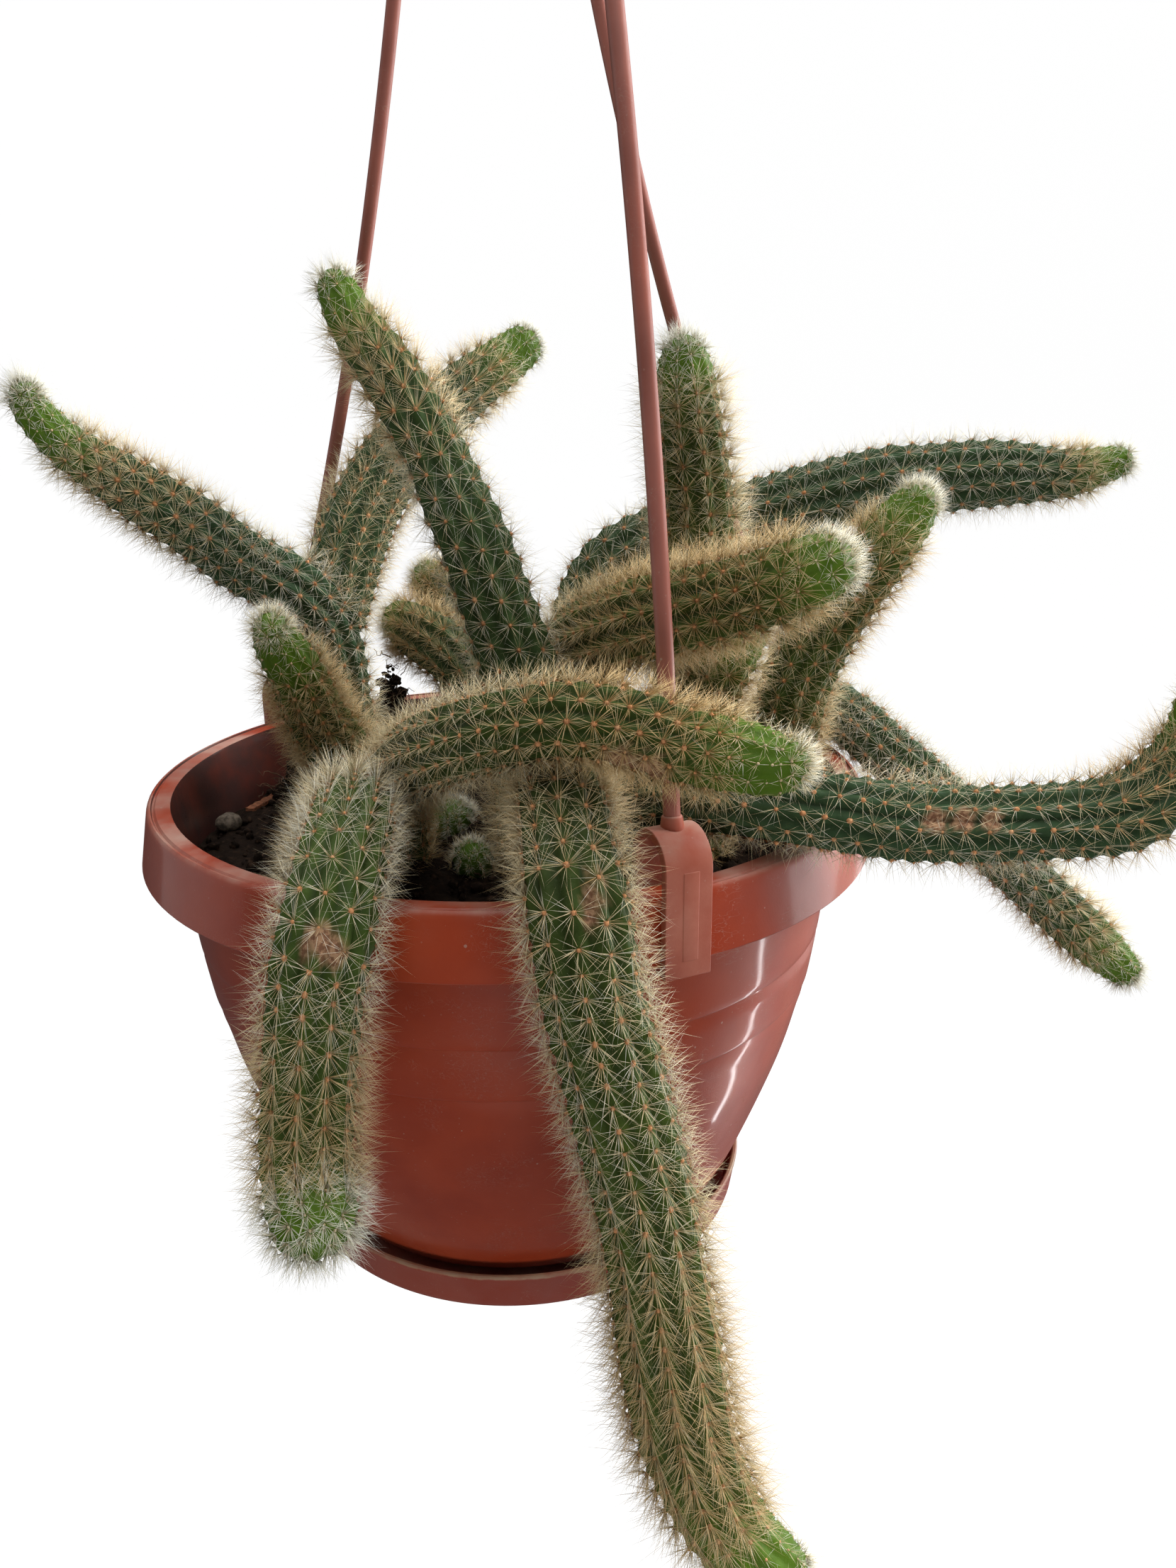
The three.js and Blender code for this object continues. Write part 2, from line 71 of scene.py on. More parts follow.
# ---- colours and node trees
class Tone(Enum):
    """The object's colours, as linear red, green and blue."""

    TERRACOTTA = (0.38, 0.05, 0.014)
    TERRACOTTA_DEEP = (0.27, 0.031, 0.01)
    TERRACOTTA_WORN = (0.4, 0.075, 0.034)
    SAUCER_ROSE = (0.27, 0.085, 0.068)
    CLIP_ROSE = (0.48, 0.18, 0.125)
    ROD_ROSE = (0.4, 0.145, 0.112)
    ROD_SHADE = (0.25, 0.08, 0.058)
    PLASTIC_DUST = (0.44, 0.31, 0.25)
    LIME_DUST = (0.36, 0.23, 0.14)
    EARTH = (0.026, 0.016, 0.011)
    EARTH_WET = (0.006, 0.004, 0.003)
    EARTH_DRY = (0.09, 0.055, 0.036)
    # Soil film with painted shade, for the pot's inside walls.
    WALL_GRIME_AND_SHADE = (0.05, 0.026, 0.024)
    ROOT_TAN = (0.17, 0.1, 0.055)
    PEBBLE = (0.19, 0.15, 0.11)
    PEBBLE_DARK = (0.05, 0.04, 0.03)
    BARK = (0.3, 0.11, 0.05)
    BARK_DARK = (0.09, 0.035, 0.02)
    SKIN_OLD = (0.034, 0.05, 0.014)
    SKIN = (0.084, 0.132, 0.018)
    SKIN_DEEP = (0.044, 0.078, 0.01)
    SKIN_BLUE = (0.042, 0.088, 0.038)
    SKIN_FRESH = (0.092, 0.176, 0.012)
    # Painted shade for the hollows between ribs and between areoles.
    SKIN_VALLEY_SHADE = (0.008, 0.016, 0.004)
    SKIN_SCURF = (0.08, 0.11, 0.04)
    CORK = (0.44, 0.26, 0.15)
    CORK_DARK = (0.2, 0.095, 0.055)
    WOOL_ORANGE = (0.64, 0.3, 0.13)
    WOOL_PALE = (0.62, 0.52, 0.34)
    SPINE_COPPER = (0.26, 0.11, 0.045)
    SPINE_GOLD = (0.5, 0.3, 0.11)
    SPINE_STRAW = (0.76, 0.54, 0.26)
    SPINE_IVORY = (0.9, 0.78, 0.5)
    SPINE_WHITE = (0.92, 0.9, 0.78)
    STUDIO = (0.08, 0.08, 0.082)
    STUDIO_SHADE = (0.072, 0.072, 0.074)
    WHITE = (1.0, 1.0, 1.0)

    @property
    def rgba(self) -> tuple[float, float, float, float]:
        """The colour with full alpha, as a socket takes it."""
        return (*self.value, 1.0)


class Bench:
    """A node tree with short calls that add, feed and link its nodes."""

    def __init__(self, tree: bpy.types.NodeTree) -> None:
        """Works on a tree as it is."""
        self.tree = tree

    def add(self, kind: str, feeds: dict | None = None, **settings) -> bpy.types.Node:
        """Adds a node.

        Args:
            kind: the node's type without its ShaderNode prefix.
            feeds: what goes into its sockets, by socket name or number, each a value or an output.
            settings: the node's own settings.

        Returns:
            The node.
        """
        node = self.tree.nodes.new("ShaderNode" + kind)
        for name, value in settings.items():
            setattr(node, name, value)
        for socket, value in (feeds or {}).items():
            self.feed(node.inputs[socket], value)
        return node

    def feed(self, socket: Socket, value: object) -> None:
        """Links an output to a socket, or sets the socket to a value.

        Args:
            socket: the socket.
            value: an output, a colour or a plain value.
        """
        if isinstance(value, Socket):
            self.tree.links.new(value, socket)
        else:
            socket.default_value = value.rgba if isinstance(value, Tone) else value

    def mix(self, share: object, first: object, second: object, how: str = "MIX") -> Socket:
        """A colour that goes from first to second as share goes from 0 to 1.

        Args:
            share: how much of second shows.
            first: a colour or an output.
            second: another.
            how: the Mix node's blend type.

        Returns:
            The colour.
        """
        node = self.add("Mix", data_type="RGBA", blend_type=how)
        for number, value in ((0, share), (6, first), (7, second)):
            self.feed(node.inputs[number], value)
        return node.outputs[2]

    def calc(self, how: str, first: object, second: object = 0.0) -> Socket:
        """The result of a Math node on two numbers."""
        return self.add("Math", {0: first, 1: second}, operation=how).outputs[0]

    def times(self, first: object, second: object) -> Socket:
        """The product of two numbers."""
        return self.calc("MULTIPLY", first, second)

    def plus(self, first: object, second: object) -> Socket:
        """The sum of two numbers."""
        return self.calc("ADD", first, second)

    def span(
        self, value: object, low: float, high: float, start: float = 0.0, end: float = 1.0
    ) -> Socket:
        """A value carried from low..high to start..end and held there."""
        feeds = {"Value": value, "From Min": low, "From Max": high, "To Min": start, "To Max": end}
        return self.add("MapRange", feeds, interpolation_type="SMOOTHSTEP").outputs[0]

    def ramp(self, value: object, stops: list[tuple[float, Tone]]) -> Socket:
        """A colour ramp over the stops, each a place from 0 to 1 and its colour.

        Args:
            value: where on the ramp, from 0 to 1.
            stops: each colour's place and the colour.

        Returns:
            The colour.
        """
        node = self.add("ValToRGB", {0: value})
        steps = node.color_ramp.elements
        while len(steps) < len(stops):
            steps.new(1.0)
        for step, (place, tone) in zip(steps, stops):
            step.position = place
            step.color = tone.rgba
        return node.outputs[0]

    def noise(
        self, scale: object, detail: float = 3.0, rough: float = 0.55, where: object = None
    ) -> Socket:
        """The height of a fractal noise, at a point of the piece unless where says otherwise."""
        feeds = {"Vector": where or self.place(), "Scale": scale, "Detail": detail, "Roughness": rough}
        return self.add("TexNoise", feeds).outputs[0]

    def place(self) -> Socket:
        """Where a point of the piece lies, in metres."""
        return self.add("TexCoord").outputs["Object"]

    def stored(self, name: str) -> Socket:
        """A number stored on the mesh under a name."""
        return self.add("Attribute", attribute_name=name).outputs["Fac"]


class Effects:
    """The effects that several finishes share, each a node group built once."""

    def __init__(self) -> None:
        """Builds every group."""
        self.dust = self._dust()
        self.specks = self._specks()
        self.scratches = self._scratches()
        self.moulding = self._moulding()
        self.mottle = self._mottle()

    @staticmethod
    def _group(name: str, inputs: dict[str, float], output: str) -> tuple[Bench, dict, Socket]:
        """Starts a group with number inputs and one number output.

        Args:
            name: the group's name.
            inputs: each input's name and first value.
            output: the output's name.

        Returns:
            The group's bench, its inputs by name, and the socket that its result goes into.
        """
        tree = bpy.data.node_groups.new(name, "ShaderNodeTree")
        for label, value in inputs.items():
            socket = tree.interface.new_socket(name=label, in_out="INPUT", socket_type="NodeSocketFloat")
            socket.default_value = value
        tree.interface.new_socket(name=output, in_out="OUTPUT", socket_type="NodeSocketFloat")
        given = tree.nodes.new("NodeGroupInput")
        result = tree.nodes.new("NodeGroupOutput")
        return Bench(tree), {label: given.outputs[label] for label in inputs}, result.inputs[output]

    def _dust(self) -> bpy.types.NodeTree:
        """Dust that lies on faces that look up, in soft patches.

        Returns:
            The group.
        """
        bench, given, result = self._group("dust that settles", {"Amount": 0.5, "Patch": 60.0}, "Mask")
        facing = bench.add("SeparateXYZ", {0: bench.add("NewGeometry").outputs["Normal"]}).outputs[2]
        lying = bench.span(facing, 0.1, 0.95, 0.03, 1.0)
        patches = bench.span(bench.noise(given["Patch"], 5.0), 0.35, 0.7)
        bench.feed(result, bench.times(bench.times(lying, patches), given["Amount"]))
        return bench.tree

    def _specks(self) -> bpy.types.NodeTree:
        """Small round specks, scattered.

        Returns:
            The group.
        """
        bench, given, result = self._group("specks", {"Scale": 300.0, "Size": 0.1, "Share": 0.3}, "Mask")
        cells = bench.add("TexVoronoi", {"Vector": bench.place(), "Scale": given["Scale"]})
        dot = bench.calc("LESS_THAN", cells.outputs["Distance"], given["Size"])
        chosen = bench.add("SeparateXYZ", {0: cells.outputs["Color"]}).outputs[0]
        bench.feed(result, bench.times(dot, bench.calc("LESS_THAN", chosen, given["Share"])))
        return bench.tree

    def _scratches(self) -> bpy.types.NodeTree:
        """Fine scratches that wander, from thin bands of a stretched noise.

        Returns:
            The group.
        """
        sizes = {"Scale": 90.0, "Stretch": 9.0, "Width": 0.012}
        bench, given, result = self._group("scratches", sizes, "Mask")
        squeeze = bench.add("CombineXYZ", {0: given["Stretch"], 1: 1.0, 2: given["Stretch"]}).outputs[0]
        turned = bench.add("VectorRotate", {"Vector": bench.place(), "Axis": (0.3, 0.5, 0.8), "Angle": 0.8})
        where = bench.add("VectorMath", {0: turned.outputs[0], 1: squeeze}, operation="MULTIPLY").outputs[0]
        waves = bench.noise(given["Scale"], 1.0, where=where)
        off = bench.calc("ABSOLUTE", bench.calc("SUBTRACT", waves, 0.5))
        line = bench.calc("LESS_THAN", off, given["Width"])
        broken = bench.span(bench.noise(70.0, 2.0), 0.52, 0.62)
        bench.feed(result, bench.times(line, broken))
        return bench.tree

    def _moulding(self) -> bpy.types.NodeTree:
        """The slightly uneven skin of moulded plastic: broad waves under a fine pebble.

        Returns:
            The group.
        """
        bench, given, result = self._group("moulded skin", {"Wave": 60.0, "Pebble": 1500.0}, "Height")
        wave = bench.noise(given["Wave"], 2.0)
        pebble = bench.times(bench.noise(given["Pebble"], 2.0), 0.12)
        bench.feed(result, bench.plus(wave, pebble))
        return bench.tree

    def _mottle(self) -> bpy.types.NodeTree:
        """Soft cloudy variation of a colour.

        Returns:
            The group.
        """
        bench, given, result = self._group("mottle", {"Scale": 50.0, "Contrast": 0.25}, "Mask")
        cloud = bench.noise(given["Scale"], 6.0, 0.6)
        low = bench.calc("SUBTRACT", 0.5, given["Contrast"])
        span = bench.times(given["Contrast"], 2.0)
        bench.feed(result, bench.calc("DIVIDE", bench.calc("SUBTRACT", cloud, low), span))
        return bench.tree


def laid(bench: Bench, effect: bpy.types.NodeTree, **values: float) -> Socket:
    """Places a shared effect in a material's tree.

    Args:
        bench: the material's bench.
        effect: the effect's group.
        values: the group's inputs by name.

    Returns:
        The group's output.
    """
    node = bench.add("Group", node_tree=effect)
    for name, value in values.items():
        bench.feed(node.inputs[name], value)
    return node.outputs[0]


def bumped(bench: Bench, height: object, distance: float, strength: float = 1.0) -> Socket:
    """The normal of a surface raised by a height, in metres at most distance."""
    return bench.add("Bump", {"Height": height, "Distance": distance, "Strength": strength}).outputs[0]


# ---- finishes
@dataclass(frozen=True)
class Finish:
    """What a surface looks like: each kind of finish says what feeds its shader."""

    name: str

    def surface(self, bench: Bench, effects: Effects) -> dict[str, object]:
        """What goes into each of the shader's sockets, by the socket's name."""
        raise NotImplementedError

    def material(self, effects: Effects) -> bpy.types.Material:
        """Builds the finish.

        Args:
            effects: the shared effects.

        Returns:
            The material.
        """
        material = bpy.data.materials.new(self.name)
        material.use_nodes = True
        bench = Bench(material.node_tree)
        shader = material.node_tree.nodes["Principled BSDF"]
        for socket, value in self.surface(bench, effects).items():
            bench.feed(shader.inputs[socket], value)
        return material


@dataclass(frozen=True)
class PlasticFinish(Finish):
    """Moulded plastic with cloudy colour, settled dust, specks and fine scratches, and where asked a soil
    film with painted shade on inside walls.
    """

    colour: Tone
    shade: Tone
    worn: Tone
    roughness: float = 0.3
    dust: float = 0.5
    scratch: float = 0.6
    gloss: float = 0.35
    grime_and_shade: float = 0.0
    dusty_line: Pair | None = None

    def surface(self, bench: Bench, effects: Effects) -> dict[str, object]:
        """The plastic.

        Args:
            bench: the material's bench.
            effects: the shared effects.

        Returns:
            What feeds the shader's sockets, by name.
        """
        colour = bench.mix(laid(bench, effects.mottle, Scale=28.0, Contrast=0.22), self.shade, self.colour)
        worn = bench.span(bench.noise(14.0, 4.0), 0.48, 0.75, 0.0, 0.45)
        colour = bench.mix(worn, colour, self.worn)
        dust = laid(bench, effects.dust, Amount=self.dust, Patch=45.0)
        specks = laid(bench, effects.specks, Scale=260.0, Size=0.10, Share=0.08)
        grit = laid(bench, effects.specks, Scale=700.0, Size=0.16, Share=0.12)
        lines = laid(bench, effects.scratches)
        colour = bench.mix(dust, colour, Tone.PLASTIC_DUST)
        for mask, share in ((specks, 0.55), (grit, 0.22), (lines, self.scratch * 0.35)):
            colour = bench.mix(bench.times(mask, share), colour, Tone.PLASTIC_DUST)
        if self.dusty_line:
            colour = self._with_line(bench, colour)
        if self.grime_and_shade:
            colour = self._with_grime_and_shade(bench, colour)
        cloudy = laid(bench, effects.mottle, Scale=95.0, Contrast=0.3)
        rough = bench.plus(bench.times(dust, 0.35), self.roughness)
        for mask, share in ((lines, 0.2), (cloudy, 0.1)):
            rough = bench.plus(rough, bench.times(mask, share))
        cut = bench.calc("SUBTRACT", laid(bench, effects.moulding), bench.times(lines, 0.25))
        return {
            "Base Color": colour, "Roughness": rough, "Normal": bumped(bench, cut, 0.0005, 0.35),
            "IOR": 1.49, "Coat Weight": self.gloss, "Coat Roughness": 0.1,
        }

    def _with_grime_and_shade(self, bench: Bench, colour: Socket) -> Socket:
        """Adds a film of soil and painted shade to walls that look in at the pot's axis.

        Args:
            bench: the material's bench.
            colour: the plastic's colour so far.

        Returns:
            The colour with the soil film and its painted shade.
        """
        level = {0: bench.place(), 1: (1.0, 1.0, 0.0)}
        outwards = bench.add("VectorMath", level, operation="MULTIPLY").outputs[0]
        outwards = bench.add("VectorMath", {0: outwards}, operation="NORMALIZE").outputs[0]
        normal = bench.add("NewGeometry").outputs["Normal"]
        facing = bench.add("VectorMath", {0: normal, 1: outwards}, operation="DOT_PRODUCT").outputs["Value"]
        # Soil film and painted shade: walls that face the axis, inside the pot, are darkened in patches.
        inside = bench.span(facing, -0.5, -0.8)
        patchy = bench.span(bench.noise(70.0, 6.0, 0.65), 0.3, 0.65, 0.72, 1.0)
        share = bench.times(bench.times(inside, patchy), self.grime_and_shade)
        return bench.mix(share, colour, Tone.WALL_GRIME_AND_SHADE)

    def _with_line(self, bench: Bench, colour: Socket) -> Socket:
        """Adds a line of pale dust between two heights.

        Args:
            bench: the material's bench.
            colour: the plastic's colour so far.

        Returns:
            The colour with the dusty line.
        """
        low, high = self.dusty_line
        height = bench.add("SeparateXYZ", {0: bench.place()}).outputs[2]
        ragged = bench.times(bench.noise(260.0, 4.0), 0.0014)
        height = bench.plus(height, ragged)
        edge = bench.span(height, low, high, 0.0, 1.0)
        patchy = bench.span(bench.noise(120.0, 3.0), 0.35, 0.65, 0.35, 1.0)
        return bench.mix(bench.times(edge, patchy), colour, Tone.LIME_DUST)


@dataclass(frozen=True)
class EarthFinish(Finish):
    """Dark crumbly potting soil, wet in its hollows and dry on its crumbs."""

    name: str = "potting soil"
    dry: float = 0.35

    def surface(self, bench: Bench, effects: Effects) -> dict[str, object]:
        """The soil.

        Args:
            bench: the material's bench.
            effects: the shared effects.

        Returns:
            What feeds the shader's sockets, by name.
        """
        cloudy = laid(bench, effects.mottle, Scale=160.0, Contrast=0.2)
        colour = bench.mix(cloudy, Tone.EARTH_WET, Tone.EARTH)
        dry = bench.span(bench.noise(420.0, 5.0), 0.5, 0.72, 0.0, self.dry)
        colour = bench.mix(dry, colour, Tone.EARTH_DRY)
        bits = laid(bench, effects.specks, Scale=520.0, Size=0.22, Share=0.10)
        colour = bench.mix(bench.times(bits, 0.4), colour, Tone.EARTH_DRY)
        return {
            "Base Color": colour, "Roughness": bench.span(dry, 0.0, 0.4, 0.75, 0.95),
            "Normal": bumped(bench, bench.noise(700.0, 6.0, 0.7), 0.0012), "Specular IOR Level": 0.1,
        }


@dataclass(frozen=True)
class GrainyFinish(Finish):
    """A rough natural surface in two colours: stone, bark or roots."""

    colour: Tone
    shade: Tone
    scale: float
    stretch: Triple = (1.0, 1.0, 1.0)
    relief: float = 0.0004

    def surface(self, bench: Bench, effects: Effects) -> dict[str, object]:
        """The grain.

        Args:
            bench: the material's bench.
            effects: the shared effects.

        Returns:
            What feeds the shader's sockets, by name.
        """
        along = bench.add("VectorMath", {0: bench.place(), 1: self.stretch}, operation="MULTIPLY").outputs[0]
        grain = bench.noise(self.scale, 6.0, 0.65, along)
        colour = bench.mix(bench.span(grain, 0.35, 0.65), self.shade, self.colour)
        pits = laid(bench, effects.specks, Scale=self.scale * 2.5, Size=0.25, Share=0.25)
        colour = bench.mix(bench.times(pits, 0.5), colour, self.shade)
        return {
            "Base Color": colour, "Roughness": bench.span(grain, 0.3, 0.7, 0.95, 0.75),
            "Normal": bumped(bench, grain, self.relief),
        }


@dataclass(frozen=True)
class SkinFinish(Finish):
    """Waxy ribbed skin: painted shade in the valleys, old at the root, fresh at the tip, corky where scarred.
    """

    name: str = "cactus skin"
    youth: float = 0.0

    def surface(self, bench: Bench, effects: Effects) -> dict[str, object]:
        """The skin, from the numbers stored on the flesh.

        Args:
            bench: the material's bench.
            effects: the shared effects.

        Returns:
            What feeds the shader's sockets, by name.
        """
        cloudy = laid(bench, effects.mottle, Scale=70.0, Contrast=0.22)
        grown = bench.mix(cloudy, Tone.SKIN_DEEP, Tone.SKIN)
        grown = bench.mix(bench.stored("cool"), grown, Tone.SKIN_BLUE)
        grown = bench.mix(bench.stored("age"), grown, Tone.SKIN_OLD)
        fresh = bench.calc("MAXIMUM", bench.stored("fresh"), self.youth)
        colour = bench.mix(fresh, grown, Tone.SKIN_FRESH)
        # Painted shade: the hollows between the ribs and between the areoles are darkened, less on fresh
        # growth.
        valley_shade = bench.times(bench.stored("valley_shade"), bench.span(fresh, 0.0, 1.0, 0.62, 0.25))
        colour = bench.mix(valley_shade, colour, Tone.SKIN_VALLEY_SHADE)
        bloom = bench.span(bench.noise(900.0, 4.0, 0.7), 0.5, 0.8, 0.0, 0.4)
        colour = bench.mix(bloom, colour, Tone.SKIN_SCURF)
        scar = bench.stored("scar")
        cork = bench.span(bench.noise(800.0, 5.0), 0.4, 0.6)
        colour = bench.mix(scar, colour, bench.mix(cork, Tone.CORK_DARK, Tone.CORK))
        rough = bench.plus(bench.span(cloudy, 0.0, 1.0, 0.45, 0.62), bench.times(scar, 0.35))
        fine = bench.noise(1600.0, 4.0, 0.6)
        rugged = bench.times(bench.noise(700.0, 5.0, 0.7), bench.times(scar, 4.0))
        return {
            "Base Color": colour, "Roughness": rough,
            "Normal": bumped(bench, bench.plus(fine, rugged), 0.0002, 0.6), "Specular IOR Level": 0.22,
        }


@dataclass(frozen=True)
class SpineFinish(Finish):
    """Stiff spines from white to copper that start in woolly areoles."""

    name: str = "spines and wool"

    def surface(self, bench: Bench, effects: Effects) -> dict[str, object]:
        """The spines, from the tone, reach and wool stored on each.

        Args:
            bench: the material's bench.
            effects: the shared effects.

        Returns:
            What feeds the shader's sockets, by name.
        """
        tone, reach, wool = (bench.stored(name) for name in ("tone", "reach", "wool"))
        stops = [
            (0.0, Tone.SPINE_COPPER), (0.3, Tone.SPINE_GOLD), (0.55, Tone.SPINE_STRAW),
            (0.8, Tone.SPINE_IVORY), (1.0, Tone.SPINE_WHITE),
        ]
        colour = bench.ramp(tone, stops)
        foot = bench.mix(0.5, colour, Tone.SPINE_GOLD)
        colour = bench.mix(bench.span(reach, 0.0, 0.3), foot, colour)
        felt = bench.ramp(tone, [(0.0, Tone.CORK_DARK), (0.45, Tone.WOOL_ORANGE), (1.0, Tone.WOOL_PALE)])
        return {
            "Base Color": bench.mix(wool, colour, felt), "Roughness": bench.span(wool, 0.0, 1.0, 0.45, 0.95),
        }


# ---- making pieces
def new_selection() -> None:
    """Leaves edit mode and deselects everything."""
    if bpy.context.object and bpy.context.object.mode != "OBJECT":
        bpy.ops.object.mode_set(mode="OBJECT")
    bpy.ops.object.select_all(action="DESELECT")


def only(piece: Piece) -> None:
    """Makes a piece the one that is selected and active."""
    new_selection()
    piece.select_set(True)
    bpy.context.view_layer.objects.active = piece


def edit_all() -> None:
    """Enters edit mode with the whole mesh selected."""
    bpy.ops.object.mode_set(mode="EDIT")
    bpy.ops.mesh.select_mode(type="FACE")
    bpy.ops.mesh.select_all(action="SELECT")


def edit_done() -> None:
    """Leaves edit mode."""
    bpy.ops.object.mode_set(mode="OBJECT")


def apply_modifier(piece: Piece, kind: str, **settings) -> None:
    """Adds a modifier with its settings and applies it.

    Args:
        piece: the piece.
        kind: the modifier's type.
        settings: the modifier's own settings.
    """
    only(piece)
    modifier = piece.modifiers.new(kind.lower(), kind)
    for name, value in settings.items():
        setattr(modifier, name, value)
    bpy.ops.object.modifier_apply(modifier=modifier.name)


def draw_up(rise: float, steps: int = 1) -> None:
    """Extrudes what is selected in edit mode upwards by a rise in metres, in equal steps."""
    for _ in range(steps):
        bpy.ops.mesh.extrude_region_move(TRANSFORM_OT_translate={"value": (0, 0, rise / steps)})


def block(where: Vector, size: Triple, turn: float = 0.0) -> Piece:
    """A box with its size and place in its mesh, the start of a small part.

    Args:
        where: its middle, in metres.
        size: its width, depth and height, in millimetres.
        turn: its turn about Z, in degrees.

    Returns:
        The box.
    """
    new_selection()
    bpy.ops.mesh.primitive_cube_add(size=1.0, location=where)
    box = bpy.context.object
    box.scale = tuple(side * MM for side in size)
    box.rotation_euler.z = math.radians(turn)
    bpy.ops.object.transform_apply(location=True, rotation=True, scale=True)
    return box


def finish_mesh(piece: Piece, name: str, smooth_below: float = 35.0) -> Piece:
    """Brings a piece to the origin, turns its faces outwards and smooths it.

    Args:
        piece: the piece as modelled.
        name: its name.
        smooth_below: edges flatter than this many degrees are smoothed.

    Returns:
        The piece.
    """
    only(piece)
    piece.name = piece.data.name = name
    bpy.ops.object.transform_apply(location=True, rotation=True, scale=True)
    edit_all()
    bpy.ops.mesh.remove_doubles(threshold=1e-6)
    bpy.ops.mesh.normals_make_consistent(inside=False)
    edit_done()
    bpy.ops.object.shade_smooth_by_angle(angle=math.radians(smooth_below))
    return piece


def turned(rings: list[Pair], sides: int = 144) -> Piece:
    """Turns a closed shape about the pot's axis, by extruding a disc from ring to ring.

    Args:
        rings: radius and height of each ring in the rim's frame, in millimetres.
        sides: how many sides each ring has.

    Returns:
        The shape, whose two ends are flat discs.
    """
    new_selection()
    (radius, height), *others = rings
    where = rim_frame(0, 0, height)
    bpy.ops.mesh.primitive_circle_add(vertices=sides, radius=radius * MM, fill_type="NGON", location=where)
    piece = bpy.context.object
    edit_all()
    for next_radius, next_height in others:
        draw_up((next_height - height) * MM)
        grow = next_radius / radius
        bpy.ops.transform.resize(value=(grow, grow, 1), center_override=where)
        radius, height = next_radius, next_height
    edit_done()
    return piece


def rim_frame(x: float, y: float, height: float) -> Vector:
    """A point in metres in the frame, from millimetres in the rim's frame."""
    return Vector((x * MM, y * MM, RIM_TOP + height * MM))


def drilled(piece: Piece, holes: list[Triple], low: float, high: float) -> None:
    """Cuts round holes straight down through a piece.

    Args:
        piece: the piece.
        holes: x, y and radius of each hole, in millimetres.
        low: the holes' lower end in the rim's frame, in millimetres.
        high: their upper end.
    """
    for x, y, radius in holes:
        new_selection()
        where = rim_frame(x, y, (low + high) / 2)
        bpy.ops.mesh.primitive_cylinder_add(radius=radius * MM, depth=(high - low) * MM, location=where)
        cutter = bpy.context.object
        apply_modifier(piece, "BOOLEAN", object=cutter, operation="DIFFERENCE", solver="EXACT")
        bpy.data.objects.remove(cutter)


def joined(pieces: list[Piece]) -> Piece:
    """Joins pieces into the first of them.

    Args:
        pieces: the pieces, of which the first keeps its origin.

    Returns:
        The first, with all in it.
    """
    only(pieces[0])
    for piece in pieces[1:]:
        piece.select_set(True)
    bpy.ops.object.join()
    return pieces[0]


def around(turn: float, radius: float, height: float = 0.0) -> Vector:
    """A point at a turn from the front towards +X, in metres, from millimetres in the rim's frame."""
    angle = math.radians(turn)
    return rim_frame(math.sin(angle) * radius, -math.cos(angle) * radius, height)


def ring_of(count: int, radius: float, first: float, size: float) -> list[Triple]:
    """Round holes or pegs evenly spaced on a circle, as x, y and radius in millimetres."""
    turns = [math.radians(first + 360 * i / count) for i in range(count)]
    return [(math.sin(turn) * radius, -math.cos(turn) * radius, size) for turn in turns]


def mesh_piece(name: str, points: Array, *faces: Array) -> Piece:
    """A piece straight from arrays, for shapes that repeat by the thousand.

    Args:
        name: the piece's name.
        points: its vertices, in metres.
        faces: arrays of vertex numbers, one row for each face.

    Returns:
        The piece, smooth shaded.
    """
    mesh = bpy.data.meshes.new(name)
    corners = np.concatenate([group.ravel() for group in faces])
    sizes = np.concatenate([np.full(len(group), group.shape[1]) for group in faces])
    mesh.vertices.add(len(points))
    mesh.loops.add(len(corners))
    mesh.polygons.add(len(sizes))
    mesh.vertices.foreach_set("co", points.astype(np.float32).ravel())
    mesh.loops.foreach_set("vertex_index", corners.astype(np.int32))
    mesh.polygons.foreach_set("loop_start", np.concatenate([[0], np.cumsum(sizes)[:-1]]).astype(np.int32))
    mesh.polygons.foreach_set("use_smooth", np.ones(len(sizes), bool))
    mesh.update(calc_edges=True)
    piece = bpy.data.objects.new(name, mesh)
    bpy.context.scene.collection.objects.link(piece)
    return piece


def store(piece: Piece, **numbers: Array) -> None:
    """Stores a number for each vertex under each name."""
    for name, values in numbers.items():
        attribute = piece.data.attributes.new(name, "FLOAT", "POINT")
        attribute.data.foreach_set("value", values.astype(np.float32))


def dress(piece: Piece, material: bpy.types.Material, slot: str, *nodes: str) -> None:
    """Gives a finished piece its material and its place in the frame.

    Args:
        piece: the piece.
        material: its material.
        slot: the record's slot for its finish, not used.
        nodes: the CAD nodes that it stands for.
    """
    piece.data.materials.clear()
    piece.data.materials.append(material)
    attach(piece, BODY)
    if nodes:
        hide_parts(*nodes)
    log.info("%s: %d faces", piece.name, len(piece.data.polygons))


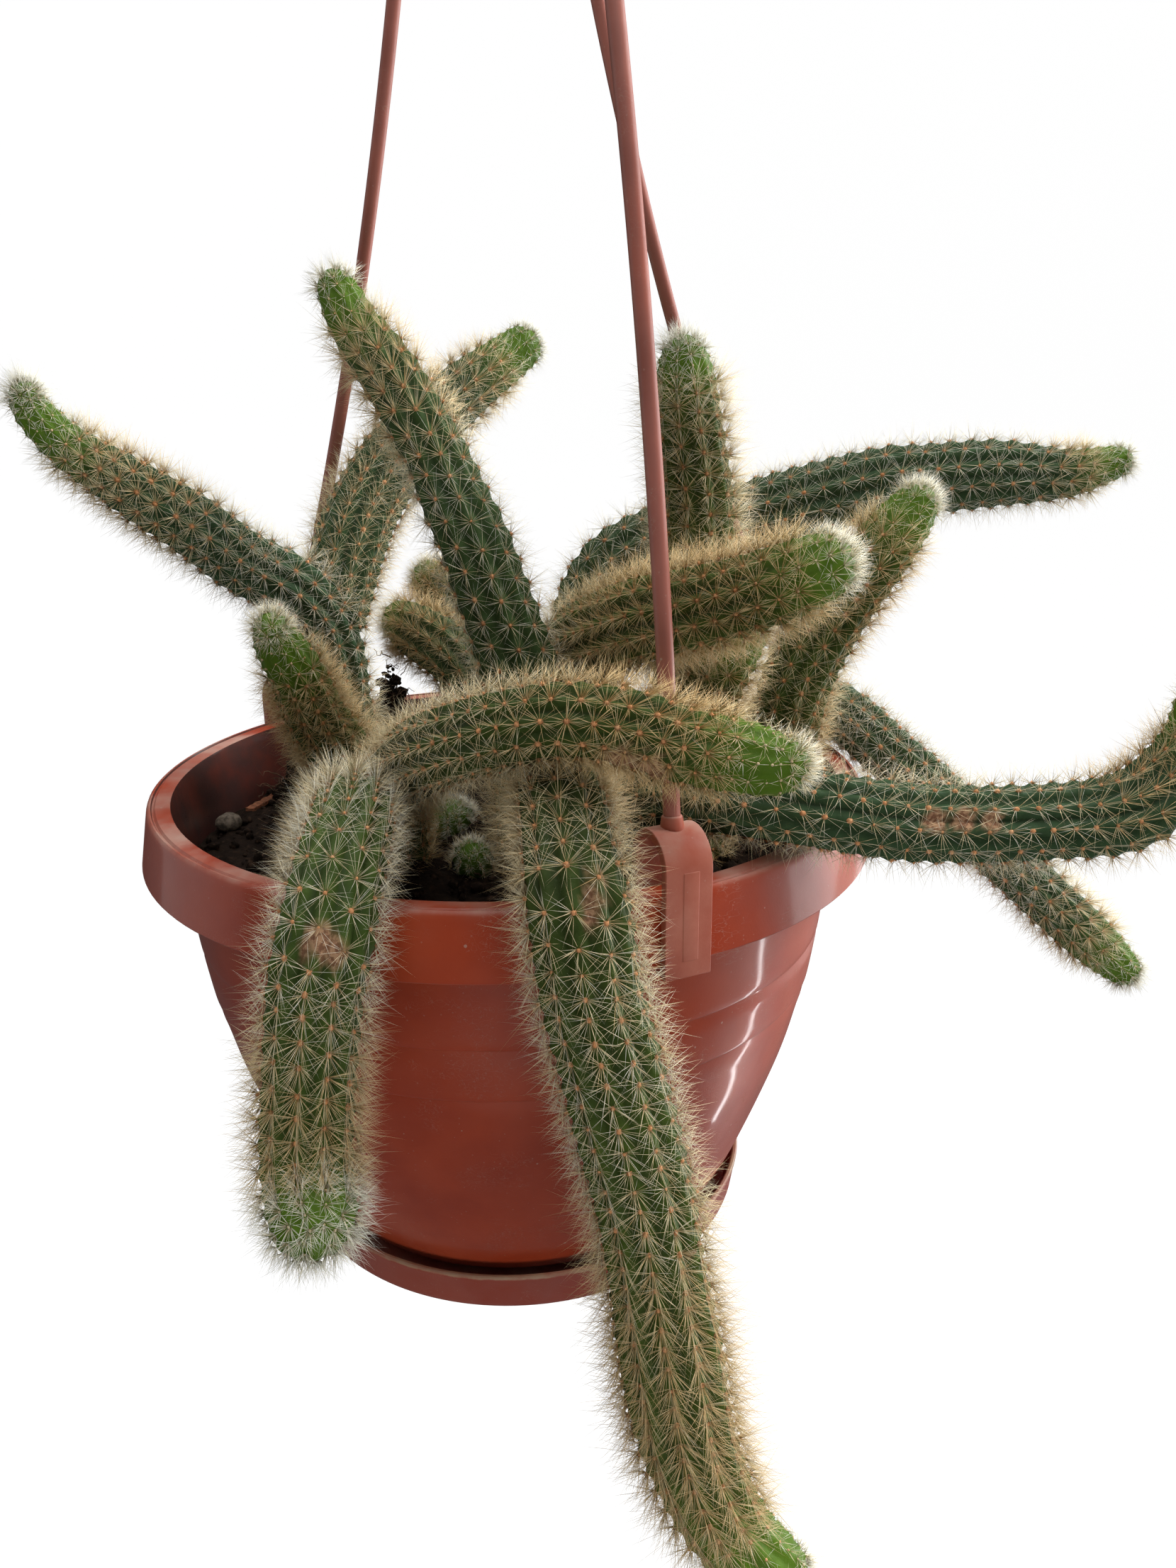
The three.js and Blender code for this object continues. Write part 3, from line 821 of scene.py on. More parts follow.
# ---- pot and saucer
@dataclass
class Pot:
    """The moulded pot: a body that narrows in a curve, a skirt that hangs from the rim, a drilled floor."""

    mouth: float = 100.5
    rim: float = 107.4
    wall: float = 2.0
    skirt: Pair = (110.2, -17.0)
    foot: float = -133.0
    ledges: Pair = (-42.0, -58.0)
    floor_middle: float = 40.0
    peg_holes: Pair = (30.0, 3.6)
    drain_holes: Pair = (46.0, 4.0)
    outline: list[Pair] = field(default_factory=lambda: [
        (65.5, -133), (67.2, -132), (69.8, -128), (73.6, -121), (77.8, -111), (83.8, -95), (88.8, -80),
        (92.3, -66), (94.4, -58), (96.8, -42), (98, -32), (100.2, -17), (102.4, -2.4),
    ])

    def body_rings(self) -> list[Pair]:
        """The body's outside from foot to rim, on a smooth curve, with its two fine ledges.

        Returns:
            Radius and height of each ring, from the foot up.
        """
        curve = smooth_route(self.outline, 48)
        rings = [tuple(ring) for ring in curve]
        for ledge in self.ledges:
            radius = float(np.interp(ledge, curve[:, 1], curve[:, 0]))
            rings = [ring for ring in rings if not ledge - 2.4 < ring[1] < ledge + 0.4]
            rings += [
                (radius - 0.75, ledge - 1.9), (radius - 0.62, ledge - 0.55), (radius - 0.12, ledge - 0.12),
                (radius, ledge + 0.15),
            ]
        return sorted(rings, key=lambda ring: ring[1])

    def rim_rings(self) -> list[Pair]:
        """Skirt and rim from the skirt's inside, over the bead, the groove and the flat, to the mouth.

        Returns:
            Radius and height of each ring, from the skirt's inside to the mouth.
        """
        (out, low), rim, wall = self.skirt, self.rim, self.wall
        return [
            (rim - wall, -2.4), (out - wall, low + 0.3), (out - wall + 0.3, low),
            (out - 0.3, low), (out, low + 0.4), (out - 0.1, low + 1.2), (rim + 0.25, -2.2),
            (rim, -1.0), (rim - 0.3, -0.25), (rim - 0.8, 0.15), (rim - 1.3, 0.1), (rim - 1.6, -0.45),
            (rim - 1.95, -0.6), (rim - 2.3, -0.3), (rim - 2.6, 0.0), (self.mouth + 0.8, 0.0),
            (self.mouth + 0.2, -0.15), (self.mouth, -0.7),
        ]

    def inner_rings(self) -> list[Pair]:
        """The inside, a wall's thickness in from the body, down to the floor."""
        inside = [(radius - self.wall, height) for radius, height in smooth_route(self.outline, 30)]
        inside = [ring for ring in inside if self.foot + self.wall + 1 < ring[1] < -6]
        return [*reversed(inside), (self.outline[0][0] - self.wall, self.foot + self.wall)]

    def shell(self) -> Piece:
        """Turns the shell and drills its floor for the saucer's pegs and for water.

        Returns:
            The finished piece.
        """
        floor = self.foot + self.wall
        shell = turned([
            (self.floor_middle, self.foot), *self.body_rings(), *self.rim_rings(), *self.inner_rings(),
            (self.floor_middle, floor),
        ])
        (peg_ring, peg_hole), (drain_ring, drain_hole) = self.peg_holes, self.drain_holes
        holes = ring_of(3, peg_ring, 0.0, peg_hole) + ring_of(3, drain_ring, 60.0, drain_hole)
        drilled(shell, holes, self.foot - 1, floor + 1)
        return finish_mesh(shell, "pot_shell", 30.0)

    def build(self, effects: Effects) -> None:
        """Makes the pot and dresses it.

        Args:
            effects: the shared effects.
        """
        # The inside walls get a soil film that is also painted shade.
        finish = PlasticFinish(
            "pot plastic", Tone.TERRACOTTA, Tone.TERRACOTTA_DEEP, Tone.TERRACOTTA_WORN,
            roughness=0.36, dust=0.75, gloss=0.3, grime_and_shade=0.97,
        )
        dress(self.shell(), finish.material(effects), "pot_plastic", "pot")


@dataclass
class Saucer:
    """A shallow tray under the pot on three pegs that click into the pot's floor."""

    radius: float = 74.2
    top: float = -129.4
    floor: float = -139.4
    foot: float = -142.0
    foot_radius: float = 72.2
    peg_ring: float = 30.0
    peg: float = 3.2
    peg_height: float = 8.8
    barb: float = 4.4
    barb_tip: float = 2.2
    barb_height: float = 2.6

    def tray(self) -> Piece:
        """Turns the tray and adds its pegs, each a post under a barb.

        Returns:
            The finished piece.
        """
        out, top, floor = self.radius, self.top, self.floor
        low, foot = self.foot, self.foot_radius
        tray = turned([
            (foot - 3.6, low + 0.8), (foot - 3.2, low), (foot - 1.6, low), (foot - 0.6, low + 0.35),
            (foot, low + 1.1), (foot + 0.4, low + 2.4), (out - 0.35, top - 2.0), (out - 0.1, top - 1.5),
            (out, top - 0.9), (out - 0.1, top - 0.35), (out - 0.4, top), (out - 1.1, top),
            (out - 1.5, top - 0.3), (foot - 1.4, floor + 1.2), (foot - 2.2, floor + 0.2), (foot - 3.4, floor),
        ])
        parts = [tray]
        for x, y, radius in ring_of(3, self.peg_ring, 0.0, self.peg):
            new_selection()
            bpy.ops.mesh.primitive_cylinder_add(
                vertices=24, radius=radius * MM, depth=self.peg_height * MM,
                location=rim_frame(x, y, floor + self.peg_height / 2),
            )
            parts.append(bpy.context.object)
            bpy.ops.mesh.primitive_cone_add(
                vertices=24, radius1=self.barb * MM, radius2=self.barb_tip * MM, depth=self.barb_height * MM,
                location=rim_frame(x, y, floor + self.peg_height + self.barb_height / 2),
            )
            parts.append(bpy.context.object)
        return finish_mesh(joined(parts), "saucer_tray", 30.0)

    def build(self, effects: Effects) -> None:
        """Makes the saucer and dresses it, with dust along its top edge.

        Args:
            effects: the shared effects.
        """
        edge = (RIM_TOP + (self.top - 0.6) * MM, RIM_TOP + (self.top + 0.1) * MM)
        finish = PlasticFinish(
            "saucer plastic", Tone.SAUCER_ROSE, Tone.TERRACOTTA_DEEP, Tone.TERRACOTTA_WORN,
            roughness=0.4, gloss=0.2, dusty_line=edge,
        )
        dress(self.tray(), finish.material(effects), "saucer_plastic", "saucer")


# ---- hanger
@dataclass
class Hanger:
    """Three clips over the rim, three bowed rods and a hub with a hook.

    The turns give each side's turn from the front, in degrees, and how far its rod bows out.
    """

    turns: dict[str, Pair] = field(default_factory=lambda: {
        "front": (21.0, 32.0), "left": (-132.0, -38.0), "right": (112.0, -42.0),
    })
    inner: float = 98.2
    outer: float = 110.9
    shoulder: float = 7.5
    strap: float = 2.3
    width: float = 12.4
    strap_foot: float = -12.0
    ridge_foot: float = -15.0
    lip: Pair = (-17.4, -19.2)
    collar_foot: float = 3.1
    collar_top: float = 2.45
    collar_height: float = 4.6
    collar_rise: float = 1.3
    hub: float = 400.0
    hub_ring: float = 4.2
    rod: float = 2.05
    rod_start: float = 1.2 / 212.0
    hook: float = 13.5
    hook_bend: float = 280.0
    wire: float = 2.8

    def route(self, turn: float, bow: float) -> tuple[Vector, Vector, Vector]:
        """The three control points of a rod, from the top of its clip to the hub.

        Args:
            turn: the clip's turn from the front, in degrees.
            bow: how far the rod bows out, in millimetres.

        Returns:
            The foot, the middle and the head, in metres.
        """
        arch = (self.inner + self.outer) / 2
        foot = around(turn, arch, self.shoulder + arch - self.inner + self.strap - 1)
        head = around(turn, self.hub_ring, self.hub)
        middle = (foot + head) / 2 + (around(turn, 1.0) - around(turn, 0.0)) * bow
        return foot, middle, head

    def clip(self, side: str) -> Piece:
        """A strap bent over the rim, with a lip under the skirt and a collar for its rod.

        Args:
            side: which of the three it is.

        Returns:
            The finished piece.
        """
        turn, bow = self.turns[side]
        middle = (self.inner + self.outer) / 2
        new_selection()
        foot = around(0.0, self.inner - self.strap / 2, self.strap_foot)
        bpy.ops.mesh.primitive_plane_add(size=1.0, location=foot)
        strap = bpy.context.object
        strap.scale = (self.width * MM, self.strap * MM, 1.0)
        bpy.ops.object.transform_apply(location=True, rotation=True, scale=True)
        edit_all()
        draw_up((self.shoulder - self.strap_foot) * MM, 3)
        axis = around(0.0, middle, self.shoulder)
        bpy.ops.mesh.spin(steps=16, angle=-math.pi, center=axis, axis=(1, 0, 0))
        draw_up((self.lip[1] - self.shoulder) * MM, 3)
        edit_done()
        strap = joined([strap, self.catch(), self.middle_ridge()])
        sharp = {"limit_method": "ANGLE", "angle_limit": math.radians(40)}
        apply_modifier(strap, "BEVEL", width=0.55 * MM, segments=3, **sharp)
        strap.rotation_euler.z = math.radians(turn)
        piece = joined([finish_mesh(strap, "strap_" + side), self.collar(turn, bow)])
        return finish_mesh(piece, "rim_strap_" + side, 40.0)

    def catch(self) -> Piece:
        """The small lip at the foot of a strap that catches under the skirt."""
        high, low = self.lip
        where = around(0.0, self.outer - 0.4, (high + low) / 2)
        return block(where, (self.width - 0.6, 5.2, high - low))

    def middle_ridge(self) -> Piece:
        """The low flat ridge down the middle of the strap's face.

        Returns:
            The ridge, at the front.
        """
        face = self.outer + self.strap
        aside = Vector((self.width * 0.04 * MM, 0, 0))
        where = around(0.0, face - 0.1, (self.shoulder + self.ridge_foot) / 2) + aside
        return block(where, (self.width * 0.34, 0.5, self.shoulder - self.ridge_foot))

    def collar(self, turn: float, bow: float) -> Piece:
        """The round collar that takes the end of the rod.

        Args:
            turn: the clip's turn from the front, in degrees.
            bow: how far the rod bows out, in millimetres.

        Returns:
            The collar at its place.
        """
        foot, middle, _ = self.route(turn, bow)
        ahead = (middle - foot).normalized()
        new_selection()
        bpy.ops.mesh.primitive_cone_add(
            vertices=32, radius1=self.collar_foot * MM, radius2=self.collar_top * MM,
            depth=self.collar_height * MM, location=foot + ahead * self.collar_rise * MM,
        )
        collar = bpy.context.object
        collar.rotation_euler = ahead.to_track_quat("Z", "Y").to_euler()
        apply_modifier(collar, "BEVEL", width=0.5 * MM, segments=3)
        return finish_mesh(collar, "collar")

    def bar(self, side: str) -> Piece:
        """A bowed round rod, from its collar to the hub.

        Args:
            side: which of the three it is.

        Returns:
            The finished piece.
        """
        foot, middle, head = self.route(*self.turns[side])
        start = self.rod_start
        bend = middle.lerp(head, start)
        near = foot.lerp(middle, start).lerp(bend, start)
        new_selection()
        bpy.ops.curve.primitive_bezier_curve_add()
        bar = bpy.context.object
        first, last = bar.data.splines[0].bezier_points
        for point, place, towards in ((first, near, bend), (last, head, bend)):
            point.handle_left_type = point.handle_right_type = "FREE"
            point.co = place
            point.handle_left = point.handle_right = place.lerp(towards, 2 / 3)
        bar.data.bevel_depth = self.rod * MM
        bar.data.bevel_resolution = 4
        bar.data.resolution_u = 48
        bar.data.use_fill_caps = True
        bpy.ops.object.convert(target="MESH")
        return finish_mesh(bpy.context.object, "bowed_rod_" + side, 50.0)

    def hub_and_hook(self) -> Piece:
        """The hub where the rods meet and the open hook above it, whose wire's inside is at the origin.

        Returns:
            The finished piece.
        """
        eye = -RIM_TOP / MM - self.hook + self.wire
        low = self.hub
        hub = turned([
            (6.0, low), (9.4, low), (10.0, low + 0.6), (10.0, low + 3.6), (9.5, low + 4.3), (6.0, low + 6.9),
            (4.0, low + 8.5), (3.0, low + 11.0), (2.8, eye - self.hook + 1.0),
        ], 48)
        new_selection()
        bpy.ops.mesh.primitive_circle_add(
            vertices=20, radius=self.wire * MM, fill_type="NGON",
            location=rim_frame(0, 0, eye - self.hook), rotation=(0, math.pi / 2, 0),
        )
        wire = bpy.context.object
        edit_all()
        bend = math.radians(-self.hook_bend)
        bpy.ops.mesh.spin(steps=56, angle=bend, center=rim_frame(0, 0, eye), axis=(0, 1, 0))
        edit_done()
        apply_modifier(wire, "BEVEL", width=0.8 * MM, segments=3, limit_method="ANGLE")
        parts = [finish_mesh(hub, "hub"), finish_mesh(wire, "wire")]
        return finish_mesh(joined(parts), "hub_and_hook", 40.0)

    def build(self, effects: Effects) -> None:
        """Makes clips, rods, hub and hook and dresses them.

        Args:
            effects: the shared effects.
        """
        strap = PlasticFinish(
            "clip plastic", Tone.CLIP_ROSE, Tone.TERRACOTTA_DEEP, Tone.PLASTIC_DUST,
            roughness=0.42, dust=0.9, gloss=0.1,
        ).material(effects)
        rose = PlasticFinish(
            "rod plastic", Tone.ROD_ROSE, Tone.ROD_SHADE, Tone.TERRACOTTA_WORN,
            roughness=0.42, dust=0.6, gloss=0.1,
        ).material(effects)
        for side in self.turns:
            dress(self.clip(side), strap, "clip_plastic", "rim_clip_" + side)
            dress(self.bar(side), rose, "hanger_plastic", "hanger_rod_" + side)
        dress(self.hub_and_hook(), rose, "hanger_plastic", "hanger_hook")


# ---- soil and what lies on it
@dataclass
class SoilBed:
    """Heaped potting soil with loose crumbs and fine roots on it.

    The clumps give the x, y and height of each pile of loose crumbs. The lumps give the height and the
    width of each size of unevenness in the bed.
    """

    level: float = -22.0
    wall: float = 97.2
    bank: float = 97.47
    ring_gap: float = 1.5
    lumps: tuple[Pair, ...] = ((1.6, 9.0), (1.3, 3.3), (0.7, 1.4))
    seed: int = 11
    crumbs: int = 4200
    crumb_reach: float = 96.0
    crumb_limit: float = 96.5
    crumb_sizes: Pair = (0.35, 2.6)
    roots: int = 420
    root_reach: float = 92.0
    root_limit: float = 95.0
    root_steps: int = 9
    clumps: tuple[Triple, ...] = ((-43.0, 80.0, 38.0), (-70.0, 44.0, 17.0))
    clump_width: float = 8.0
    clump_share: float = 0.24
    side: list[Pair] = field(default_factory=lambda: [
        (70.0, -127), (71.3, -121), (75.5, -111), (81.5, -95), (86.5, -80), (90, -66), (92.4, -56),
        (94.5, -42),
    ])

    def heap(self, x: Array, y: Array) -> Array:
        """How high the soil is heaped above its level at a place, in millimetres."""
        inside = 1 - np.hypot(x, y) / self.bank
        mound = inside * (5 + 3 * np.sin(x / 11 + 1) * np.cos(y / 13))
        return mound + np.sin(x / 7) * np.sin(y / 9) * inside * 4

    def pile(self, x: Array, y: Array) -> Array:
        """How high loose crumbs are piled on the heap at a place, in millimetres.

        Args:
            x: millimetres towards +X.
            y: millimetres towards the back.

        Returns:
            The height.
        """
        spread = self.clump_width**2
        return sum(
            peak * np.exp(-(((x - at_x) ** 2 + (y - at_y) ** 2) / spread)) for at_x, at_y, peak in self.clumps
        )

    def bed(self) -> Piece:
        """The soil's body, with an uneven top.

        Returns:
            The finished piece.
        """
        rings = int(self.wall / self.ring_gap)
        top = [(self.wall - self.ring_gap * step, self.level) for step in range(rings)]
        bed = turned([(60.0, self.side[0][1]), *self.side, *top], 160)
        for vertex in bed.data.vertices:
            x, y, z = vertex.co.x / MM, vertex.co.y / MM, (bed.location.z + vertex.co.z - RIM_TOP) / MM
            if z > self.level - 1:
                spot = Vector((x, y, 0.0))
                lumps = sum(height * noise.noise(spot / width) for height, width in self.lumps)
                vertex.co.z += (float(self.heap(x, y)) + lumps) * MM
        return finish_mesh(bed, "soil_bed", 60.0)

    def loose_crumbs(self) -> Piece:
        """Crumbs of soil scattered over the bed and piled in clumps at the back left.

        Returns:
            The finished piece.
        """
        rng = np.random.default_rng(self.seed)
        ball, faces = low_ball()
        turn = rng.uniform(0, 2 * np.pi, self.crumbs)
        out = self.crumb_reach * np.sqrt(rng.uniform(0, 1, self.crumbs))
        x, y = np.sin(turn) * out, np.cos(turn) * out
        clump = rng.uniform(0, 1, self.crumbs)
        for number, (middle_x, middle_y, _) in enumerate(self.clumps):
            chosen = (clump > self.clump_share * number) & (clump < self.clump_share * (number + 1))
            x = np.where(chosen, middle_x + rng.normal(0, 5, self.crumbs), x)
            y = np.where(chosen, middle_y + rng.normal(0, 4, self.crumbs), y)
        keep = np.hypot(x, y) < self.crumb_limit
        x, y = x[keep], y[keep]
        size = rng.gamma(2.2, 0.42, len(x)).clip(*self.crumb_sizes)
        z = self.level + self.heap(x, y) + size * 0.3 + rng.uniform(0, 1, len(x)) * self.pile(x, y)
        centres = np.stack([x, y, z], 1)
        squash = rng.uniform(0.6, 1.25, (len(x), 1, 3)) * size[:, None, None]
        jagged = rng.uniform(0.72, 1.2, (len(x), len(ball), 1))
        points = centres[:, None] + ball[None] * squash * jagged
        numbers = faces[None] + (np.arange(len(x)) * len(ball))[:, None, None]
        return mesh_piece("soil_crumbs", in_frame(points.reshape(-1, 3)), numbers.reshape(-1, 3))

    def fine_roots(self) -> Piece:
        """Dry rootlets and fibres that lie across the crumbs.

        Returns:
            The finished piece.
        """
        rng = np.random.default_rng(self.seed + 1)
        threads = []
        for index in range(self.roots):
            turn, out = rng.uniform(0, 2 * math.pi), self.root_reach * math.sqrt(rng.uniform(0, 1))
            x, y = math.sin(turn) * out, math.cos(turn) * out
            if index % 3:
                middle_x, middle_y, _ = self.clumps[index % 3 - 1]
                x, y = rng.normal(middle_x, 6), rng.normal(middle_y, 4)
            heading, stride = rng.uniform(0, 2 * math.pi), rng.uniform(6, 18) / self.root_steps
            points = []
            lift = rng.uniform(0.6, 2.2) + rng.uniform(0, 1.15) * float(self.pile(x, y))
            for _ in range(self.root_steps):
                if math.hypot(x, y) < self.root_limit:
                    points.append((x, y, self.level + float(self.heap(x, y)) + lift))
                lift = max(0.5, lift + rng.normal(0, 1.0))
                heading += rng.normal(0, 0.7)
                x, y = x + math.cos(heading) * stride, y + math.sin(heading) * stride
            if len(points) > 3:
                threads.append((np.array(points), rng.uniform(0.12, 0.32)))
        return threads_piece("soil_roots", threads)

    def build(self, effects: Effects) -> None:
        """Makes bed, crumbs and roots and dresses them.

        Args:
            effects: the shared effects.
        """
        dress(self.bed(), EarthFinish().material(effects), "soil", "soil")
        dress(self.loose_crumbs(), EarthFinish("loose crumbs", 0.8).material(effects), "soil")
        roots = GrainyFinish("dry rootlets", Tone.ROOT_TAN, Tone.EARTH_DRY, 900.0)
        dress(self.fine_roots(), roots.material(effects), "soil")


@dataclass
class Litter:
    """The pale pebble and the chip of bark that lie on the soil at the left."""

    pebble_at: Triple = (-91.0, 14.0, -19.5)
    pebble_radius: float = 4.2
    pebble_shape: Triple = (1.0, 0.85, 0.75)
    chip_at: Triple = (-84.0, 37.0, -20.6)
    chip_size: Triple = (17.0, 3.0, 1.2)
    chip_turn: float = 66.0

    def pebble(self) -> Piece:
        """A rounded pebble with an uneven face.

        Returns:
            The finished piece.
        """
        new_selection()
        where = rim_frame(*self.pebble_at)
        bpy.ops.mesh.primitive_ico_sphere_add(subdivisions=4, radius=self.pebble_radius * MM, location=where)
        pebble = bpy.context.object
        pebble.scale = self.pebble_shape
        roughen(pebble, 3.0 * MM, 1.1 * MM)
        roughen(pebble, 0.9 * MM, 0.25 * MM)
        return finish_mesh(pebble, "pale_pebble", 60.0)

    def chip(self) -> Piece:
        """A flat splinter of bark with torn edges.

        Returns:
            The finished piece.
        """
        chip = block(rim_frame(*self.chip_at), self.chip_size, self.chip_turn)
        edit_all()
        bpy.ops.mesh.subdivide(number_cuts=11)
        edit_done()
        roughen(chip, 2.2 * MM, 0.9 * MM)
        roughen(chip, 0.7 * MM, 0.35 * MM)
        return finish_mesh(chip, "bark_splinter", 60.0)

    def build(self, effects: Effects) -> None:
        """Makes the pebble and the chip and dresses them.

        Args:
            effects: the shared effects.
        """
        stone = GrainyFinish("pale stone", Tone.PEBBLE, Tone.PEBBLE_DARK, 420.0)
        bark = GrainyFinish("dry bark", Tone.BARK, Tone.BARK_DARK, 300.0, (1.0, 4.0, 4.0))
        dress(self.pebble(), stone.material(effects), "stone", "stone")
        dress(self.chip(), bark.material(effects), "bark", "bark_chip")


def roughen(piece: Piece, size: float, depth: float) -> None:
    """Displaces a piece by a soft cloud of a size, both in metres."""
    cloud = bpy.data.textures.new(f"{piece.name} cloud {size:.4f}", "CLOUDS")
    cloud.noise_scale = size
    apply_modifier(piece, "DISPLACE", texture=cloud, strength=depth, mid_level=0.5, texture_coords="GLOBAL")


def in_frame(points: Array) -> Array:
    """Points from millimetres in the rim's frame to metres in the frame."""
    return points * MM + np.array([0.0, 0.0, RIM_TOP])


def low_ball() -> tuple[Array, Array]:
    """An icosahedron's points and faces, the start of every crumb.

    Returns:
        Its points, and its faces as vertex numbers.
    """
    new_selection()
    bpy.ops.mesh.primitive_ico_sphere_add(subdivisions=1, radius=1.0)
    ball = bpy.context.object
    points = np.array([vertex.co for vertex in ball.data.vertices])
    faces = np.array([face.vertices for face in ball.data.polygons])
    bpy.data.objects.remove(ball)
    return points, faces


def unit(rows: Array) -> Array:
    """The same directions, each of length one."""
    return rows / np.linalg.norm(rows, axis=1)[:, None]


def threads_piece(name: str, threads: list[tuple[Array, float]]) -> Piece:
    """Thin three-sided threads as one piece.

    Args:
        name: the piece's name.
        threads: each thread's points, in millimetres in the rim's frame, and its radius.

    Returns:
        The piece.
    """
    points, quads, caps, first = [], [], [], 0
    for line, radius in threads:
        ahead = unit(np.gradient(line, axis=0))
        side = unit(np.cross(ahead, NEARLY_UP))
        up = np.cross(side, ahead)
        taper = np.linspace(1.0, 0.35, len(line))[:, None] * radius
        for step in range(3):
            angle = 2 * math.pi * step / 3
            points.append(line + (side * math.cos(angle) + up * math.sin(angle)) * taper)
        rings = first + np.arange(3)[:, None] * len(line) + np.arange(len(line))[None]
        for step in range(3):
            here, there = rings[step], rings[(step + 1) % 3]
            quads.append(np.stack([here[:-1], here[1:], there[1:], there[:-1]], 1))
        caps += [rings[:, 0], rings[::-1, -1]]
        first += 3 * len(line)
    return mesh_piece(name, in_frame(np.concatenate(points)), np.concatenate(quads), np.array(caps))


# ---- cactus
def smooth_route(points: list[tuple[float, ...]], count: int) -> Array:
    """Points on the smooth curve through a route, evenly spaced along it.

    Args:
        points: the route's points, of any number of coordinates.
        count: how many points to return.

    Returns:
        One row for each point. The first three columns, or two, set the spacing.
    """
    given = np.array(points, float)
    padded = np.vstack([2 * given[0] - given[1], given, 2 * given[-1] - given[-2]])
    share = np.linspace(0, len(given) - 1, 40 * len(given))
    start = np.minimum(share.astype(int), len(given) - 2)
    into = (share - start)[:, None]
    before, here, there, after = (padded[start + step] for step in range(4))
    leaving, arriving = (there - before) / 2, (after - here) / 2
    fine = (
        (2 * into**3 - 3 * into**2 + 1) * here + (into**3 - 2 * into**2 + into) * leaving
        + (3 * into**2 - 2 * into**3) * there + (into**3 - into**2) * arriving
    )
    steps = np.linalg.norm(np.diff(fine[:, :3], axis=0), axis=1)
    travelled = np.concatenate([[0], np.cumsum(steps)])
    places = np.linspace(0, travelled[-1], count)
    return np.stack([np.interp(places, travelled, column) for column in fine.T], 1)


def smoothstep(value: Array, low: float, high: float) -> Array:
    """0 below low, 1 above high and a smooth step between."""
    share = np.clip((value - low) / (high - low), 0, 1)
    return share * share * (3 - 2 * share)


@dataclass(frozen=True)
class Growth:
    """How a stem grows: its ribs, its areoles and what its spines look like along it.

    Attributes:
        ribs: how many ribs it has.
        spacing: millimetres between areoles on a rib.
        radial: length of the flat spines.
        central: length of the spines that stand up.
        gold_end: how far from the tip the golden spines end.
        gold_length: length of the golden spines.
        fresh: how far from the tip the skin is bright green and bare.
        tone: the spines' colour, from copper at 0 to white at 1.
        cover: what share of the spines grows.
        woolly: how far from the tip the white hairs go.
        hair: length of those hairs.
        cool: how blue the skin is, from 0 to 1.
        low_end: how far from the root the old, closer growth goes.
        dark: how much painted shade lies over the whole skin, from 0 to 1.
    """

    ribs: int = 11
    spacing: float = 5.3
    radial: float = 6.8
    central: float = 7.6
    gold_end: float = 55.0
    gold_length: float = 7.5
    fresh: float = 14.0
    tone: float = 0.84
    cover: float = 1.0
    woolly: float = 4.5
    hair: float = 4.2
    cool: float = 0.15
    low_end: float = 95.0
    dark: float = 0.0


class Zone(Enum):
    """The stretch of a stem that a kind of spine grows on."""

    WHOLE = "whole"
    GOLDEN = "golden"
    TIP = "tip"


@dataclass(frozen=True)
class SpineKind:
    """One kind of spine in an areole, with how it stands and how much it varies.

    Attributes:
        zone: where it grows.
        length: the name of the growth's length that it takes.
        count: how many there are round an areole.
        share: what share of them grows.
        lift: its mean angle from the skin and that angle's spread, in degrees.
        size: its mean length and that length's spread, as a share of the growth's.
        sway: the spread of its turn, in radians.
        lean: how much it leans towards the tip, and how much more in the gold.
        half_width: half its thickness at the foot, in millimetres.
        first: the turn of the first, in radians.
        bare: how much of the share is missing on fresh growth.
        raised: how many degrees more it stands up in the gold and at the tip.
        short: how much shorter it is on fresh growth and at the tip.
        tone: how much lighter than the stem's tone it is.
    """

    zone: Zone
    length: str
    count: int
    share: float
    lift: Pair
    size: Pair
    sway: float
    lean: Pair
    half_width: float
    first: float = 0.0
    bare: float = 0.0
    raised: Pair = (0.0, 0.0)
    short: Pair = (0.0, 0.0)
    tone: float = 0.0


SPINE_KINDS = (
    SpineKind(
        Zone.WHOLE, "radial", 13, 0.95, (20, 8), (1.0, 0.13), 0.14, (0.12, 0.45), 0.06,
        bare=0.55, raised=(14, 30), short=(0.5, 0.35),
    ),
    SpineKind(
        Zone.WHOLE, "central", 10, 0.92, (46, 11), (1.0, 0.14), 0.35, (0.2, 0.5), 0.058,
        first=0.3, bare=0.7, short=(0.5, 0.3),
    ),
    SpineKind(
        Zone.WHOLE, "central", 3, 0.9, (72, 9), (0.95, 0.14), 0.5, (0.2, 0.5), 0.075,
        first=0.3, bare=0.7, short=(0.5, 0.3), tone=-0.1,
    ),
    SpineKind(Zone.GOLDEN, "gold_length", 18, 0.85, (42, 15), (1.0, 0.15), 0.4, (0.9, 0.0), 0.07, tone=-0.1),
    SpineKind(Zone.TIP, "hair", 14, 0.8, (52, 18), (1.0, 0.22), 0.3, (0.3, 0.0), 0.055, tone=0.12),
)


@dataclass(frozen=True)
class Scar:
    """A corky patch on a stem: its middle in the rim's frame and its size, in millimetres."""

    at: Triple
    size: float

    def cover(self, points: Array) -> Array:
        """How far points in millimetres are within the patch's ragged outline, from 0 to 1.

        Args:
            points: rows of points, in the rim's frame.

        Returns:
            The share for each point.
        """
        gap = np.linalg.norm(points - np.array(self.at), axis=2)
        first, second = (np.sin(points @ np.array(wave)) for wave in SCAR_WAVES)
        gap = gap * (1 + SCAR_RIPPLE * first * second)
        return 1 - smoothstep(gap, self.size * 0.45, self.size)


